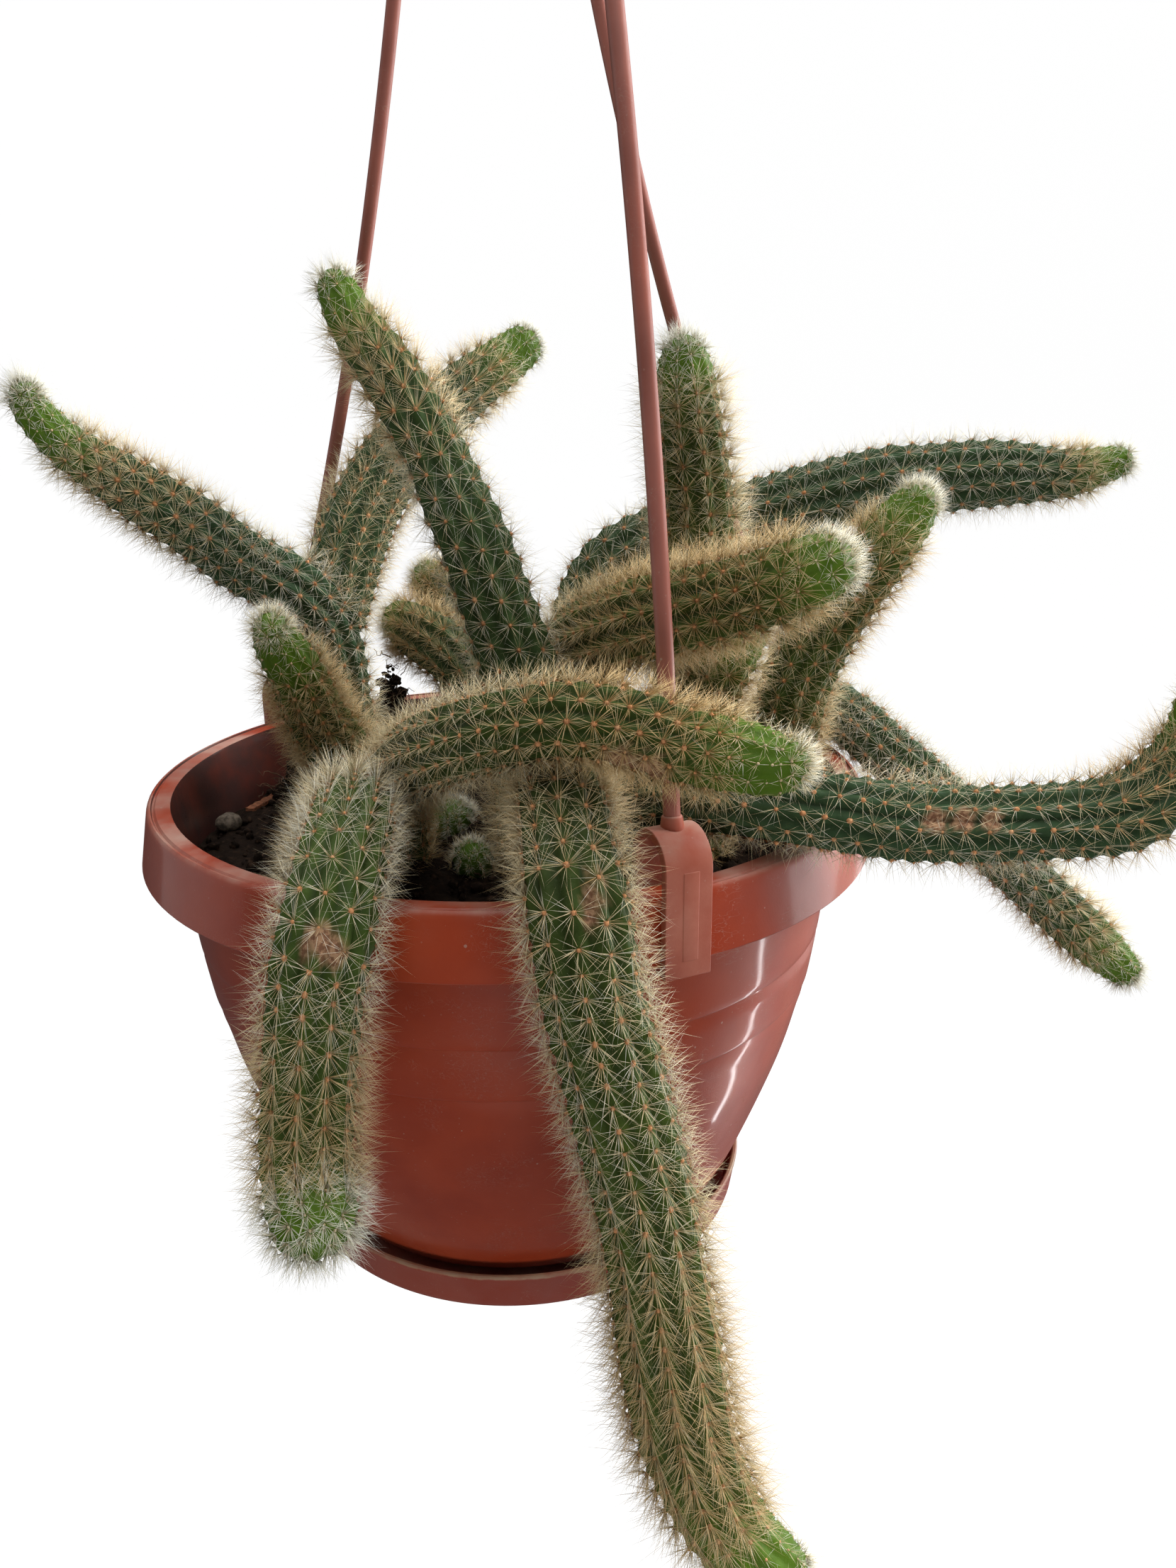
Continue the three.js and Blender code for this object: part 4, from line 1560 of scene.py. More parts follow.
@dataclass
class Stem:
    """One stem: ribbed flesh carried along its route, and the spines in its areoles."""

    name: str
    route: list[tuple[float, float, float, float]]
    growth: Growth = Growth()
    scars: tuple[Scar, ...] = ()
    young: bool = False
    ring_step: float = 1.15
    dome_rings: int = 7
    rib_sides: int = 6
    swell: float = 0.09
    crowded: float = 24.0
    bare_below: float = -23.5
    bare_within: float = 108.0

    def lay_out(self) -> None:
        """Works out the centreline's rings: their centres, directions, radii and distances."""
        measured = smooth_route(self.route, 400)[:, :3]
        length = float(np.linalg.norm(np.diff(measured, axis=0), axis=1).sum())
        count = int(length / self.ring_step) + 1
        fine = smooth_route(self.route, count)
        distance = np.linspace(0, length, count)
        dome = self.route[-1][3]
        keep = distance < length - dome
        quarter = np.linspace(0, math.pi / 2, self.dome_rings + 1)[:-1]
        round_off = length - dome * (1 - np.sin(quarter))
        self.distance = np.concatenate([distance[keep], round_off])
        columns = [np.interp(self.distance, distance, column) for column in fine.T]
        self.centre = np.stack(columns[:3], 1)
        self.length = length
        in_dome = np.clip((self.distance - length + dome) / dome, 0, 1)
        self.radius = columns[3] * np.sqrt(1 - in_dome**2)
        self.ahead = unit(np.gradient(self.centre, self.distance, axis=0))
        side = np.array([1.0, 0.2, 0.1])
        sides = []
        for direction in self.ahead:
            side = side - direction * side.dot(direction)
            side /= np.linalg.norm(side)
            sides.append(side)
        self.side = np.array(sides)
        self.up = np.cross(self.ahead, self.side)
        from_tip = length - self.distance
        spacing = self.growth.spacing * (0.42 + 0.58 * smoothstep(from_tip, 0, self.crowded))
        spacing = spacing * (0.8 + 0.2 * smoothstep(self.distance, LOW_START, self.growth.low_end))
        self.rows = np.concatenate([[0], np.cumsum(np.diff(self.distance) / spacing[:-1])])

    def phase(self, rib: Array) -> Array:
        """How far along its row a rib's first areole is, so that neighbouring ribs are staggered."""
        return (RIB_SHIFT * rib) % 1.0

    def rib_depth(self, distance: Array) -> Array:
        """How deep the valleys are at a distance, as a share of the radius."""
        from_tip = self.length - distance
        return 0.03 + 0.135 * smoothstep(from_tip, 4, 40)

    def flesh(self) -> Piece:
        """The ribbed skin with a low tubercle under each areole and its corky scars.

        Returns:
            The piece, with what its skin reads stored on it.
        """
        ribs, sides = self.growth.ribs, self.growth.ribs * self.rib_sides
        angle = np.arange(sides) * 2 * math.pi / sides
        crest = np.abs(np.cos(ribs * angle / 2))
        rib = np.round(angle / (2 * math.pi / ribs)).astype(int) % ribs
        row = self.rows[:, None] - self.phase(rib)[None]
        bud = np.cos(2 * math.pi * row) * 0.5 + 0.5
        depth = self.rib_depth(self.distance)[:, None]
        swell = self.swell * bud**1.4 * crest[None] ** 2
        radius = self.radius[:, None] * (1 - depth * (1 - crest[None]) ** 0.9 + swell)
        wobble = 1 + 0.012 * np.sin(self.distance / 9.0 + self.phase(3))[:, None]
        across, upright = np.sin(angle)[None, :, None], np.cos(angle)[None, :, None]
        out = self.side[:, None] * across + self.up[:, None] * upright
        points = self.centre[:, None] + out * (radius * wobble)[..., None]
        scar = np.zeros(points.shape[:2])
        for patch in self.scars:
            scar = np.maximum(scar, patch.cover(points))
        points += out * (scar * 0.5)[..., None]
        ends = np.stack([self.centre[0], self.centre[-1] + self.ahead[-1] * self.radius[-1] * 0.25])
        root = len(points) * sides
        numbers = np.arange(root).reshape(len(points), sides)
        following = np.roll(numbers, -1, axis=1)
        quads = np.stack([numbers[:-1], following[:-1], following[1:], numbers[1:]], 2).reshape(-1, 4)
        foot = np.stack([following[0], numbers[0], np.full(sides, root)], 1)
        cap = np.stack([numbers[-1], following[-1], np.full(sides, root + 1)], 1)
        skin = in_frame(np.vstack([points.reshape(-1, 3), ends]))
        flesh = mesh_piece(self.name + "_flesh", skin, quads, foot, cap)
        # How deep each vertex lies between ribs and between areoles, which is where painted shade goes.
        self.store_skin(flesh, 1 - crest[None] * (0.5 + 0.5 * bud), scar)
        return flesh

    def store_skin(self, flesh: Piece, valley_shade: Array, scar: Array) -> None:
        """Stores on the flesh what its skin reads: painted shade between the ribs, age, fresh, scar and cool.

        Args:
            flesh: the flesh, whose vertices run round ring after ring and end with root and tip.
            valley_shade: how deep between the ribs and areoles each vertex of the rings lies, from 0 to 1,
                which sets its painted shade.
            scar: how corky it is, from 0 to 1.
        """
        growth, from_tip = self.growth, (self.length - self.distance)[:, None]
        full = np.ones_like(valley_shade)
        # The first number is painted shade between ribs and areoles, raised over the whole skin by the
        # growth's dark share.
        numbers = {
            "valley_shade": valley_shade + (1 - valley_shade) * growth.dark,
            "age": smoothstep(from_tip, 90, 260) * 0.75 * full,
            "fresh": (1 - smoothstep(from_tip, growth.fresh * 0.5, growth.fresh * 2.2)) * full,
            "scar": scar,
            "cool": growth.cool * full,
        }
        for name, value in numbers.items():
            store(flesh, **{name: np.append(value.ravel(), [value[0, 0], value[-1, 0]])})

    def areoles(self, rng: np.random.Generator) -> Buds:
        """Where the areoles sit.

        Args:
            rng: the stem's random numbers.

        Returns:
            Their places, outward and forward directions, distances from the tip, and how much each
            belongs to the old growth near the root.
        """
        ribs = []
        taper = np.gradient(self.radius, self.distance)
        for rib in range(self.growth.ribs):
            angle = 2 * math.pi * rib / self.growth.ribs
            row = np.arange(math.ceil(self.rows[0]), math.floor(self.rows[-1]) + 1) + self.phase(rib)
            row = row[row < self.rows[-1]]
            where = np.interp(row, self.rows, self.distance) + rng.normal(0, 0.22, len(row))
            where = np.clip(where, 0, self.distance[-1])
            centre, side, up, ahead = (
                np.stack([np.interp(where, self.distance, column) for column in group.T], 1)
                for group in (self.centre, self.side, self.up, self.ahead)
            )
            radius = np.interp(where, self.distance, self.radius)[:, None]
            slope = np.clip(np.interp(where, self.distance, taper), -3, 0.3)[:, None]
            out = side * math.sin(angle) + up * math.cos(angle)
            place = centre + out * radius * (1 + self.swell * 0.9)
            ribs.append((place, unit(out - ahead * slope), unit(ahead + out * slope), self.length - where))
        names = ("place", "out", "ahead", "from_tip")
        buds = {name: np.concatenate(group) for name, group in zip(names, zip(*ribs))}
        old = 1 - smoothstep(self.length - buds["from_tip"], LOW_START, self.growth.low_end)
        buds["low"] = np.zeros_like(old) if self.young else old
        return buds

    def spines(self, seed: int) -> Piece:
        """The spines and the wool of every areole, as one piece, save those under the soil.

        Args:
            seed: starts the stem's random numbers.

        Returns:
            The piece.
        """
        rng = np.random.default_rng(seed)
        buds = self.areoles(rng)
        x, y, height = buds["place"].T
        bare = (height <= self.bare_below) & (np.hypot(x, y) <= self.bare_within)
        buds = {name: group[~bare] for name, group in buds.items()}
        spikes = SpikeSet(rng)
        self.grow_spines(rng, buds, spikes)
        return spikes.piece(self.name + "_spines", buds)

    def grow_spines(self, rng: np.random.Generator, buds: Buds, spikes: "SpikeSet") -> None:
        """Adds each kind of spine to the set, all round each areole.

        Args:
            rng: the stem's random numbers.
            buds: the areoles.
            spikes: the set.
        """
        growth, from_tip = self.growth, buds["from_tip"]
        count = len(from_tip)
        tip = 1 - smoothstep(from_tip, growth.woolly * 0.5, growth.woolly * 1.5)
        fresh = (1 - smoothstep(from_tip, growth.fresh * 0.7, growth.fresh * 1.25)) * (1 - tip)
        gold = smoothstep(from_tip, growth.fresh * 0.8, growth.fresh * 1.3)
        gold = gold * (1 - smoothstep(from_tip, growth.gold_end * 0.7, growth.gold_end * 1.25))
        gold = np.maximum(gold, 0.6 * buds["low"] * (1 - 0.8 * growth.cool))
        tone = growth.tone - 0.18 * np.maximum(gold, buds["low"]) + 0.12 * np.maximum(tip, fresh * 0.6)
        for kind in SPINE_KINDS:
            share = {
                Zone.WHOLE: growth.cover * (kind.share - kind.bare * fresh),
                Zone.GOLDEN: growth.cover * kind.share * gold,
                Zone.TIP: kind.share * tip,
            }[kind.zone]
            raised = kind.raised[0] * gold + kind.raised[1] * tip
            whole = getattr(growth, kind.length)
            short = 1 - kind.short[0] * fresh - kind.short[1] * tip
            lean = kind.lean[0] + kind.lean[1] * gold
            for turn in np.arange(kind.count) * math.pi / (kind.count / 2) + kind.first:
                keep = rng.uniform(0, 1, count) < share
                lift = np.radians(rng.normal(*kind.lift, count) + raised)
                length = whole * rng.normal(*kind.size, count) * short
                turned_by = turn + rng.normal(0, kind.sway, count)
                spikes.add(buds, keep, turned_by, lift, length, lean, tone + kind.tone, kind.half_width)

    def build(self, skin: bpy.types.Material, thorns: bpy.types.Material, seed: int) -> None:
        """Makes flesh and spines and dresses them.

        Args:
            skin: the material of the flesh.
            thorns: the material of spines and wool.
            seed: starts the stem's random numbers.
        """
        self.lay_out()
        slot = "young_cactus_flesh" if self.young else "cactus_flesh"
        dress(self.flesh(), skin, slot, self.name)
        dress(self.spines(seed), thorns, "cactus_spines")


class SpikeSet:
    """Spines gathered as thin three-sided spikes, with areole wool added at the end."""

    def __init__(self, rng: np.random.Generator) -> None:
        """Starts an empty set that draws from a stem's random numbers.

        Args:
            rng: the stem's random numbers.
        """
        self.rng = rng
        self.feet: list[Array] = []
        self.points: list[Array] = []
        self.tones: list[Array] = []

    def add(
        self, buds: Buds, keep: Array, turn: Array, lift: Array,
        length: Array, lean: Array, tone: Array, half_width: float,
    ) -> None:
        """Adds one spine to each kept areole.

        Args:
            buds: the areoles.
            keep: which areoles get it.
            turn: its direction round the areole, in radians from the way to the tip.
            lift: how far it stands up from the skin, in radians.
            length: its length in millimetres.
            lean: how much it leans towards the tip.
            tone: its colour's place from copper at 0 to white at 1.
            half_width: half its thickness at the foot, in millimetres.
        """
        out, ahead = buds["out"], buds["ahead"]
        across = np.cross(out, ahead)
        flat = ahead * np.cos(turn)[:, None] + across * np.sin(turn)[:, None]
        along = flat * np.cos(lift)[:, None] + out * np.sin(lift)[:, None]
        along = unit(along + ahead * lean[:, None] * 0.5)
        foot = buds["place"] + flat * 0.5 - out * 0.15
        first = unit(np.cross(along, out + 0.37 * ahead))
        second = np.cross(along, first)
        corners = [foot + half_width * (first * math.cos(a) + second * math.sin(a)) for a in SPIKE_CORNERS]
        spike = np.stack([*corners, foot + along * length[:, None]], 1)
        shade = np.clip(tone + self.rng.normal(0, 0.09, len(foot)), 0.0, 1.0)
        self.points.append(spike[keep])
        self.tones.append(shade[keep])

    def piece(self, name: str, buds: Buds) -> Piece:
        """Turns the set into a mesh, with a low woolly dome in each areole.

        Args:
            name: the piece's name.
            buds: the areoles.

        Returns:
            The piece, with tone, reach and wool stored on it and a map that follows them.
        """
        spikes, tones = np.concatenate(self.points), np.concatenate(self.tones)
        count = len(spikes)
        start = np.arange(count)[:, None] * 4
        sides = np.concatenate([start + np.array(face) for face in SPIKE_FACES])
        domes, dome_faces, dome_tones = self.wool(buds)
        points = np.vstack([spikes.reshape(-1, 3), domes])
        piece = mesh_piece(name, in_frame(points), sides, dome_faces + 4 * count)
        tone = np.concatenate([np.repeat(tones, 4), dome_tones])
        reach = np.concatenate([np.tile([0.0, 0.0, 0.0, 1.0], count), np.zeros(len(domes))])
        wool = np.concatenate([np.zeros(4 * count), np.ones(len(domes))])
        store(piece, tone=tone, reach=reach, wool=wool)
        self.map_of(piece, tone, reach, wool)
        return piece

    def wool(self, buds: Buds) -> tuple[Array, Array, Array]:
        """A low dome of wool for each areole.

        Args:
            buds: the areoles.

        Returns:
            The domes' points, faces and tones.
        """
        out, ahead, from_tip = buds["out"], buds["ahead"], buds["from_tip"]
        across = np.cross(out, ahead)
        wide = 0.42 + 0.36 * smoothstep(from_tip, 8, 30)
        wide = wide * self.rng.normal(1.0, 0.1, len(wide))
        ring = []
        for turn in np.arange(DOME_SIDES) * math.pi / (DOME_SIDES / 2):
            aside = ahead * math.cos(turn) * 1.05 + across * math.sin(turn) * 0.85
            ring.append(buds["place"] - out * 0.25 + aside * wide[:, None])
        top = buds["place"] + out * (0.75 * wide)[:, None]
        under = buds["place"] - out * 0.5
        points = np.stack([*ring, top, under], 1)
        faces = []
        for step in range(DOME_SIDES):
            after = (step + 1) % DOME_SIDES
            faces += [(step, after, DOME_SIDES), (after, step, DOME_SIDES + 1)]
        corners = DOME_SIDES + 2
        numbers = np.array(faces)[None] + (np.arange(len(points)) * corners)[:, None, None]
        tone = 0.42 + 0.5 * (1 - smoothstep(from_tip, 8, 22)) + self.rng.normal(0, 0.07, len(wide))
        return points.reshape(-1, 3), numbers.reshape(-1, 3), np.repeat(np.clip(tone, 0, 1), corners)

    @staticmethod
    def map_of(piece: Piece, tone: Array, reach: Array, wool: Array) -> None:
        """Lays the mesh out flat by tone and reach, with the wool above the spines.

        Args:
            piece: the spines and the wool.
            tone: each vertex's tone.
            reach: how near a spine's point each vertex is.
            wool: 1 where a vertex is wool.
        """
        corners = np.empty(len(piece.data.loops), np.int32)
        piece.data.loops.foreach_get("vertex_index", corners)
        spread = (np.arange(len(corners)) % 3 - 1) * 0.004
        u = np.clip(tone[corners] + spread, 0.0, 1.0)
        v = np.where(wool[corners] > 0.5, 0.96 + spread * 5, 0.01 + 0.85 * reach[corners] + np.abs(spread))
        layer = piece.data.uv_layers.new(name="OFBake")
        layer.data.foreach_set("uv", np.stack([u, v], 1).astype(np.float32).ravel())


# The dark shares below lay painted shade over the whole skin of stems that lie in shade.
SLENDER = Growth(
    spacing=4.9, radial=6.2, central=7.0, gold_end=60.0, gold_length=6.8, tone=0.76, cover=0.88,
    woolly=3.0, hair=3.4, fresh=17.0, dark=0.65,
)
LONG_ONE = Growth(
    radial=7.4, central=8.2, gold_end=115.0, gold_length=11.5, fresh=24.0, low_end=155.0, cool=0.0, dark=0.08,
)
STOUT = Growth(ribs=10, spacing=6.6, radial=7.4, central=8.0, gold_length=8.5, fresh=15.0, tone=0.9, cool=0.6)
BROAD = Growth(
    spacing=5.5, radial=8.0, central=8.6, gold_end=50.0, gold_length=8.4, tone=0.88, woolly=16.0, hair=7.6,
)
DULL = Growth(radial=6.0, gold_end=30.0, fresh=5.0, tone=0.82, cool=0.7)
COOL = Growth(spacing=5.6, radial=7.0, gold_end=42.0, gold_length=6.5, fresh=16.0, tone=0.95, cool=0.9)
SHADED = Growth(spacing=5.6, radial=6.6, central=7.4, cover=0.62, cool=1.0, dark=0.2)
FURRY = Growth(
    ribs=10, spacing=5.4, radial=8.0, central=8.8, gold_end=70.0, gold_length=9.5, fresh=10.0, tone=1.0,
)
BRIGHT = Growth(gold_end=60.0, gold_length=8.0, fresh=18.0, tone=0.8)
ARCHING = Growth(gold_end=90.0, gold_length=9.5, fresh=11.0, tone=0.8, woolly=6.0)
PALE = Growth(spacing=5.4, gold_end=60.0, gold_length=6.0, fresh=17.0, tone=0.95, cool=1.0)
LEVEL = Growth(spacing=6.2, radial=6.6, gold_end=30.0, gold_length=6.0, fresh=12.0, tone=0.95, cool=0.95)
PUP = Growth(
    ribs=9, spacing=2.9, radial=2.4, central=4.4, gold_end=9.0, gold_length=5.0, fresh=7.0, tone=0.85,
    cover=0.65, woolly=3.0, hair=1.6,
)
WOOLLY_PUP = Growth(
    ribs=9, spacing=2.6, radial=3.0, central=5.0, gold_end=12.0, gold_length=5.0, fresh=7.0, tone=0.9,
    cover=0.7, woolly=11.0, hair=2.8,
)


def cactus_stems() -> list[Stem]:
    """Lists the stems.

    Returns:
        Every stem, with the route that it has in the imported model, from root to tip: x, y, height and
        radius in the rim's frame, in millimetres.
    """
    return [
        Stem("stem_left_low", [
            (-53, 28, -42, 9), (-54, 26, -22, 9.7), (-54, 25, 3, 10.5), (-54, 18, 20, 10.1),
            (-54, 13, 36, 9.9), (-57, 10, 48, 9.7), (-64, 4, 58, 9.5), (-75, -2, 66, 9),
            (-86, -12, 78, 8.6), (-96, -20, 87, 7.8), (-105, -26, 95, 6.5), (-110, -31, 100, 5.6),
            (-114, -35, 106, 4.9), (-116, -38, 111, 4.2), (-116, -40, 116, 2.8),
        ], PALE),
        Stem("stem_left_high", [
            (-53, 14, 45, 9.5), (-48, 24, 65, 10.8), (-42, 34, 79, 11), (-30, 46, 96, 10.5),
            (-14, 56, 110, 9.5), (0, 64, 120, 8), (13, 70, 129, 6),
        ], COOL),
        Stem("stem_tall_left", [
            (8, -23, -42, 9.5), (7, -25, -16, 10.3), (6, -26, 14, 11), (4, -28, 35, 10.8),
            (1, -28, 47, 10.4), (-4, -27, 62, 10), (-8, -25, 74, 9.5), (-13, -21, 85, 9.1),
            (-17, -17, 95, 8.5), (-22, -14, 104, 8.3), (-27, -10, 113, 8.3), (-33, -7, 122, 7.7),
            (-38, -5, 129, 6.8), (-42, -3, 137, 5.8), (-45, -2, 144, 3.8),
        ], STOUT),
        Stem("stem_tall_right", [
            (55, 6, -42, 9), (55, 5, -24, 9.9), (54, 4, -2, 10.8), (55, -5, 30, 10.5),
            (55, -16, 64, 9.9), (54, -21, 84, 9.4), (51, -25, 103, 8.6), (49, -28, 117, 7.2),
            (48, -30, 126, 3.8),
        ], FURRY),
        Stem("stem_front_right", [
            (19, 9, -42, 9), (17, 8, -19, 10.1), (16, 8, 8, 11.2), (17, 3, 27, 11.6),
            (22, -9, 40, 11.5), (30, -28, 49, 11.1), (40, -50, 57, 10.4), (51, -64, 62, 9.9),
            (60, -72, 66, 9.2), (68, -78, 70, 8.6), (76, -81, 74, 7.3), (81, -82, 77, 4.1),
        ], ARCHING),
        Stem("stem_front_arch", [
            (-35, -25, -42, 8), (-34, -27, -22, 8.9), (-34, -28, 3, 9.8), (-26, -50, 18, 9.6),
            (-19, -70, 28, 9.3), (-10, -85, 35, 8.9), (2, -97, 41, 8.6), (14, -104, 44, 8.3),
            (27, -108, 43, 8.3), (37, -111, 40, 8.1), (48, -114, 38, 7.8), (57, -118, 37, 6.6),
            (63, -121, 39, 3.4),
        ], SLENDER, (
            Scar((23.7, -114.1, 36.8), 5.6), Scar((30.0, -116.5, 35.5), 5.0),
        )),
        Stem("stem_back_right", [
            (29, 29, -42, 9), (27, 30, -11, 10.2), (25, 36, 13, 11.4), (26, 42, 36, 11.3),
            (36, 48, 55, 11.3), (57, 50, 65, 11.3), (81, 48, 71, 11.3), (104, 46, 77, 11.2),
            (127, 43, 82, 11.3), (138, 41, 83, 11), (160, 36, 85, 10.2), (182, 32, 85, 7.6),
            (196, 30, 88, 5.5), (203, 29, 90, 3.2),
        ], LEVEL),
        Stem("stem_right_up", [
            (83, -1, -42, 8), (83, -2, -24, 9.1), (84, -2, -3, 10.3), (86, -4, 16, 10.3),
            (88, -6, 28, 10.4), (93, -8, 41, 10.4), (100, -9, 53, 10.1), (107, -10, 63, 9.4),
            (114, -10, 72, 8.3), (119, -10, 79, 6.8), (123, -10, 85, 4.1),
        ]),
        Stem("stem_right_long", [
            (32, -34, -42, 8), (32, -37, -10, 9.2), (40, -55, 9, 9.9), (51, -67, 13, 9.7),
            (68, -76, 13, 9.5), (103, -80, 8, 9.5), (141, -79, 7, 9.5), (158, -78, 9, 10),
            (169, -76, 16, 9.6), (176, -75, 27, 8.7), (178, -74, 42, 7),
        ], SHADED, (
            Scar((103.8, -88.3, 11.6), 4.0), Scar((111, -88, 11.4), 4.0), Scar((118.2, -88.1, 11.1), 3.5),
        )),
        Stem("stem_right_low", [
            (76, 20, -42, 7.5), (78, 19, -24, 8.1), (80, 19, -3, 8.7), (92, 21, 12, 8.9),
            (105, 20, 12, 8.9), (114, 18, 7, 8.9), (123, 10, -1, 8.8), (134, 0, -10, 8.5),
            (148, -9, -23, 8.4), (162, -16, -36, 8.1), (176, -21, -49, 7.9), (187, -24, -59, 7),
            (197, -26, -68, 4.1),
        ], COOL),
        Stem("stem_front_left", [
            (-58, -27, -42, 7.5), (-55, -31, -16, 8.6), (-46, -47, 0, 9.3), (-40, -67, 12, 9.5),
            (-38, -90, 15, 9.6), (-39, -108, 11, 9.7), (-41, -118, 1, 10.2), (-44, -121, -12, 10.3),
            (-47, -129, -42, 9.8), (-46, -136, -53, 9.6), (-43, -148, -57, 8.6),
        ], BROAD, (
            Scar((-40.7, -126.7, 4.2), 4.5), Scar((-38.1, -128.0, 1.5), 4.0),
            Scar((-42.5, -126.0, 2.0), 3.5),
        )),
        Stem("stem_front_long", [
            (14, -58, -42, 7.5), (13, -59, -23, 8.5), (13, -60, 0, 9.4), (12, -80, 19, 9.7),
            (12, -103, 22, 9.8), (13, -119, 13, 10.4), (14, -124, 5, 10.9), (16, -125, -12, 11.1),
            (20, -126, -29, 11.4), (24, -127, -47, 11.4), (28, -128, -65, 11.3), (31, -128, -86, 11.5),
            (34, -129, -106, 12.2), (37, -130, -126, 12), (41, -132, -140, 11.2),
            (46, -134, -152, 10.4), (52, -137, -160, 9.5), (60, -139, -167, 8.1),
            (67, -140, -172, 5.3),
        ], LONG_ONE, (
            Scar((17.2, -128.0, 16.5), 2.8), Scar((16.4, -130.0, 12.5), 3.4), Scar((15.3, -131.8, 9.1), 3.0),
            Scar((38.0, -132.7, -66.3), 1.8), Scar((38.3, -135.2, -74.0), 1.8),
        )),
        Stem("stem_small_left", [
            (-48, 8, -42, 8), (-48, 6, -27, 8.7), (-48, 4, -8, 9.4), (-50, -4, 5, 9.5),
            (-52, -11, 14, 9.3), (-56, -19, 26, 8.5), (-58, -28, 39, 7.5), (-61, -36, 49, 6.1),
            (-62, -42, 57, 3.5),
        ], BRIGHT),
        Stem("stem_back_low", [
            (-6, 56, -42, 7), (-8, 58, -10, 8), (-13, 62, 13, 9.5), (-20, 66, 23, 10),
            (-29, 70, 29, 9.9), (-37, 72, 33, 8.6), (-44, 73, 33, 6.8),
        ], DULL),
        Stem("stem_back_small", [
            (-3, 84, -42, 5.5), (-6, 84, 5, 7), (-13, 84, 27, 7.5), (-20, 85, 39, 7.5),
            (-27, 87, 47, 6.8), (-31, 88, 52, 5.4),
        ], DULL),
        Stem("stem_right_short", [
            (57, -20, -42, 7), (55, -22, -10, 8.2), (54, -27, 12, 9), (55, -34, 30, 8.9),
            (60, -42, 45, 8.1), (66, -47, 59, 6.4),
        ]),
        Stem("pup_back", [(-16, 8, -38, 5.5), (-18, 1, -22, 7.4), (-19, -8, -9, 6)], WOOLLY_PUP, young=True),
        Stem("pup_front", [(-9, -19, -38, 4.5), (-11, -27, -23, 6), (-12, -36, -12, 5)], PUP, young=True),
    ]


@dataclass
class Cactus:
    """The whole plant, whose stems share two skins and one set of spine colours."""

    seed: int = 400

    def build(self, effects: Effects) -> None:
        """Makes every stem and dresses it.

        Args:
            effects: the shared effects.
        """
        grown = SkinFinish().material(effects)
        young = SkinFinish("young cactus skin", 0.2).material(effects)
        thorns = SpineFinish().material(effects)
        for number, stem in enumerate(cactus_stems()):
            stem.build(young if stem.young else grown, thorns, self.seed + number)


# ---- studio
@dataclass(frozen=True)
class Lamp:
    """An area light that looks at the pot.

    Attributes:
        name: the light's name.
        place: where it stands, in metres.
        size: its width and height.
        power: its power in watts.
        roll: how far it is turned about the way it looks, in degrees.
        mirrored: whether glossy faces show it.
    """

    name: str
    place: Triple
    size: Pair
    power: float
    roll: float = 0.0
    mirrored: bool = False

    def hang(self) -> None:
        """Puts the light in the scene, unseen by the camera."""
        lamp = bpy.data.lights.new(self.name, "AREA")
        lamp.shape, lamp.energy = "RECTANGLE", self.power
        lamp.size, lamp.size_y = self.size
        holder = bpy.data.objects.new(self.name, lamp)
        holder.location = self.place
        aim = (Vector((0, 0, RIM_TOP)) - Vector(self.place)).to_track_quat("-Z", "Y")
        holder.rotation_euler = (aim @ Quaternion((0, 0, 1), math.radians(self.roll))).to_euler()
        holder.visible_camera = False
        holder.visible_glossy = self.mirrored
        bpy.context.scene.collection.objects.link(holder)


@dataclass(frozen=True)
class StudioPaint(Finish):
    """Pale paint that looks white to the camera and lights the object only a little."""

    name: str = "studio paint"
    glow: float = 0.97

    def surface(self, bench: Bench, effects: Effects) -> dict[str, object]:
        """The paint.

        Args:
            bench: the material's bench.
            effects: the shared effects.

        Returns:
            What feeds the shader's sockets, by name.
        """
        cloudy = laid(bench, effects.mottle, Scale=2.0, Contrast=2.5)
        seen = bench.add("LightPath").outputs["Is Camera Ray"]
        return {
            "Base Color": bench.mix(cloudy, Tone.STUDIO, Tone.STUDIO_SHADE), "Roughness": 0.9,
            "Emission Color": Tone.WHITE, "Emission Strength": bench.times(seen, self.glow),
        }


LAMPS = (
    Lamp("window at the right", (1.7, 0.7, -0.3), (1.8, 2.2), 40.0, mirrored=True),
    Lamp("high window at the right", (1.5, 0.15, 0.6), (0.9, 0.9), 34.0),
    Lamp("window behind", (-0.2, 1.9, 0.9), (1.6, 1.6), 26.0),
    Lamp("soft front", (0.1, -1.9, 0.5), (1.3, 1.3), 4.0),
    Lamp("glow from the floor", (0.2, -1.3, -1.45), (1.6, 1.0), 17.0),
    Lamp("wall at the left", (-1.8, 0.4, -0.3), (1.5, 1.8), 4.0, mirrored=True),
    Lamp("skylight", (0.0, -0.1, 1.7), (1.2, 1.2), 18.0),
    Lamp("gap in the blind", (0.77, 0.17, -1.17), (0.024, 0.42), 0.9, 25.0, mirrored=True),
)


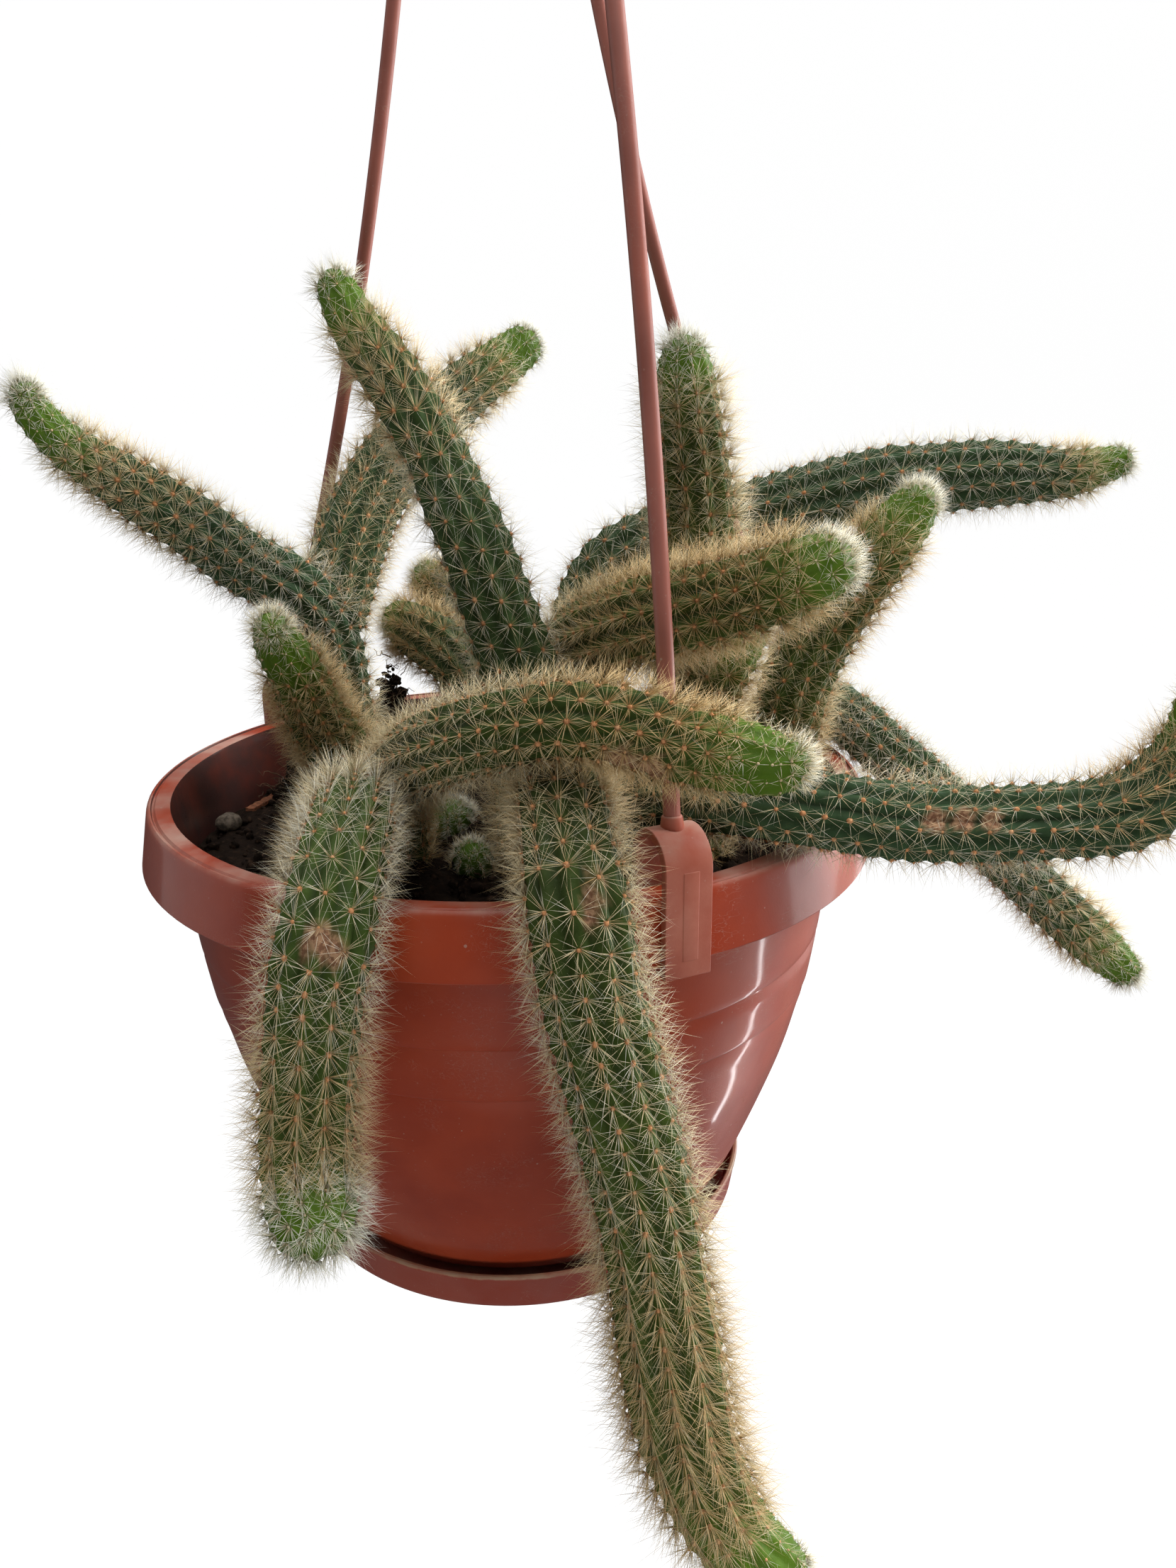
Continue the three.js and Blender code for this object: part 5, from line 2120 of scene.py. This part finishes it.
@dataclass
class Studio:
    """A pale sweep of floor, soft lights and the camera, in metres and degrees."""

    floor: float = -1.6
    reach: float = 3.6
    bend: float = 1.2
    bend_steps: int = 8
    wall: float = 4.0
    sky: float = 0.8
    lens: float = 27.89
    eye: Triple = (0.0, -0.3616, -0.3353)
    gaze: Triple = (71.664, 0.511, -4.033)

    def sweep(self, effects: Effects) -> None:
        """A pale floor that curves up into a wall all round.

        Args:
            effects: the shared effects.
        """
        new_selection()
        middle = (0, 0, self.floor)
        bpy.ops.mesh.primitive_circle_add(vertices=96, radius=self.reach, fill_type="NGON", location=middle)
        floor = bpy.context.object
        edit_all()
        angles = [math.pi / 2 * step / self.bend_steps for step in range(self.bend_steps + 1)]
        for before, angle in zip(angles, angles[1:]):
            bpy.ops.mesh.select_mode(type="EDGE")
            bpy.ops.mesh.region_to_loop()
            draw_up(self.bend * (math.cos(before) - math.cos(angle)))
            inner, outer = (self.reach + self.bend * math.sin(turn) for turn in (before, angle))
            bpy.ops.transform.resize(value=(outer / inner, outer / inner, 1), center_override=(0, 0, 0))
        draw_up(self.wall)
        bpy.ops.mesh.select_all(action="SELECT")
        bpy.ops.mesh.normals_make_consistent(inside=True)
        edit_done()
        floor.name = "studio_sweep"
        bpy.ops.object.shade_smooth_by_angle(angle=math.radians(40))
        floor.data.materials.append(StudioPaint().material(effects))

    def camera(self) -> None:
        """A camera a little above the rim, looking slightly down."""
        lens = bpy.data.cameras.new("view")
        lens.sensor_fit, lens.sensor_height, lens.lens = "VERTICAL", 36.0, self.lens
        lens.clip_start = 0.01
        holder = bpy.data.objects.new("view", lens)
        holder.location = self.eye
        holder.rotation_euler = [math.radians(turn) for turn in self.gaze]
        bpy.context.scene.collection.objects.link(holder)
        bpy.context.scene.camera = holder

    def build(self, effects: Effects) -> None:
        """Sets up camera, floor, lights and sky.

        Args:
            effects: the shared effects.
        """
        self.camera()
        self.sweep(effects)
        for lamp in LAMPS:
            lamp.hang()
        world = bpy.data.worlds.new("sky")
        world.use_nodes = True
        sky = world.node_tree.nodes["Background"]
        sky.inputs["Color"].default_value = Tone.WHITE.rgba
        sky.inputs["Strength"].default_value = self.sky
        bpy.context.scene.world = world
        bpy.context.scene.view_settings.view_transform = "Standard"


def main() -> None:
    """Builds the studio and then the object, piece by piece."""
    logging.basicConfig(level=logging.INFO, format="%(name)s: %(message)s")
    effects = Effects()
    for part in (Studio(), Pot(), Saucer(), Hanger(), SoilBed(), Litter(), Cactus()):
        log.info("building %s", type(part).__name__)
        part.build(effects)
    new_selection()


if __name__ == "__main__":
    main()
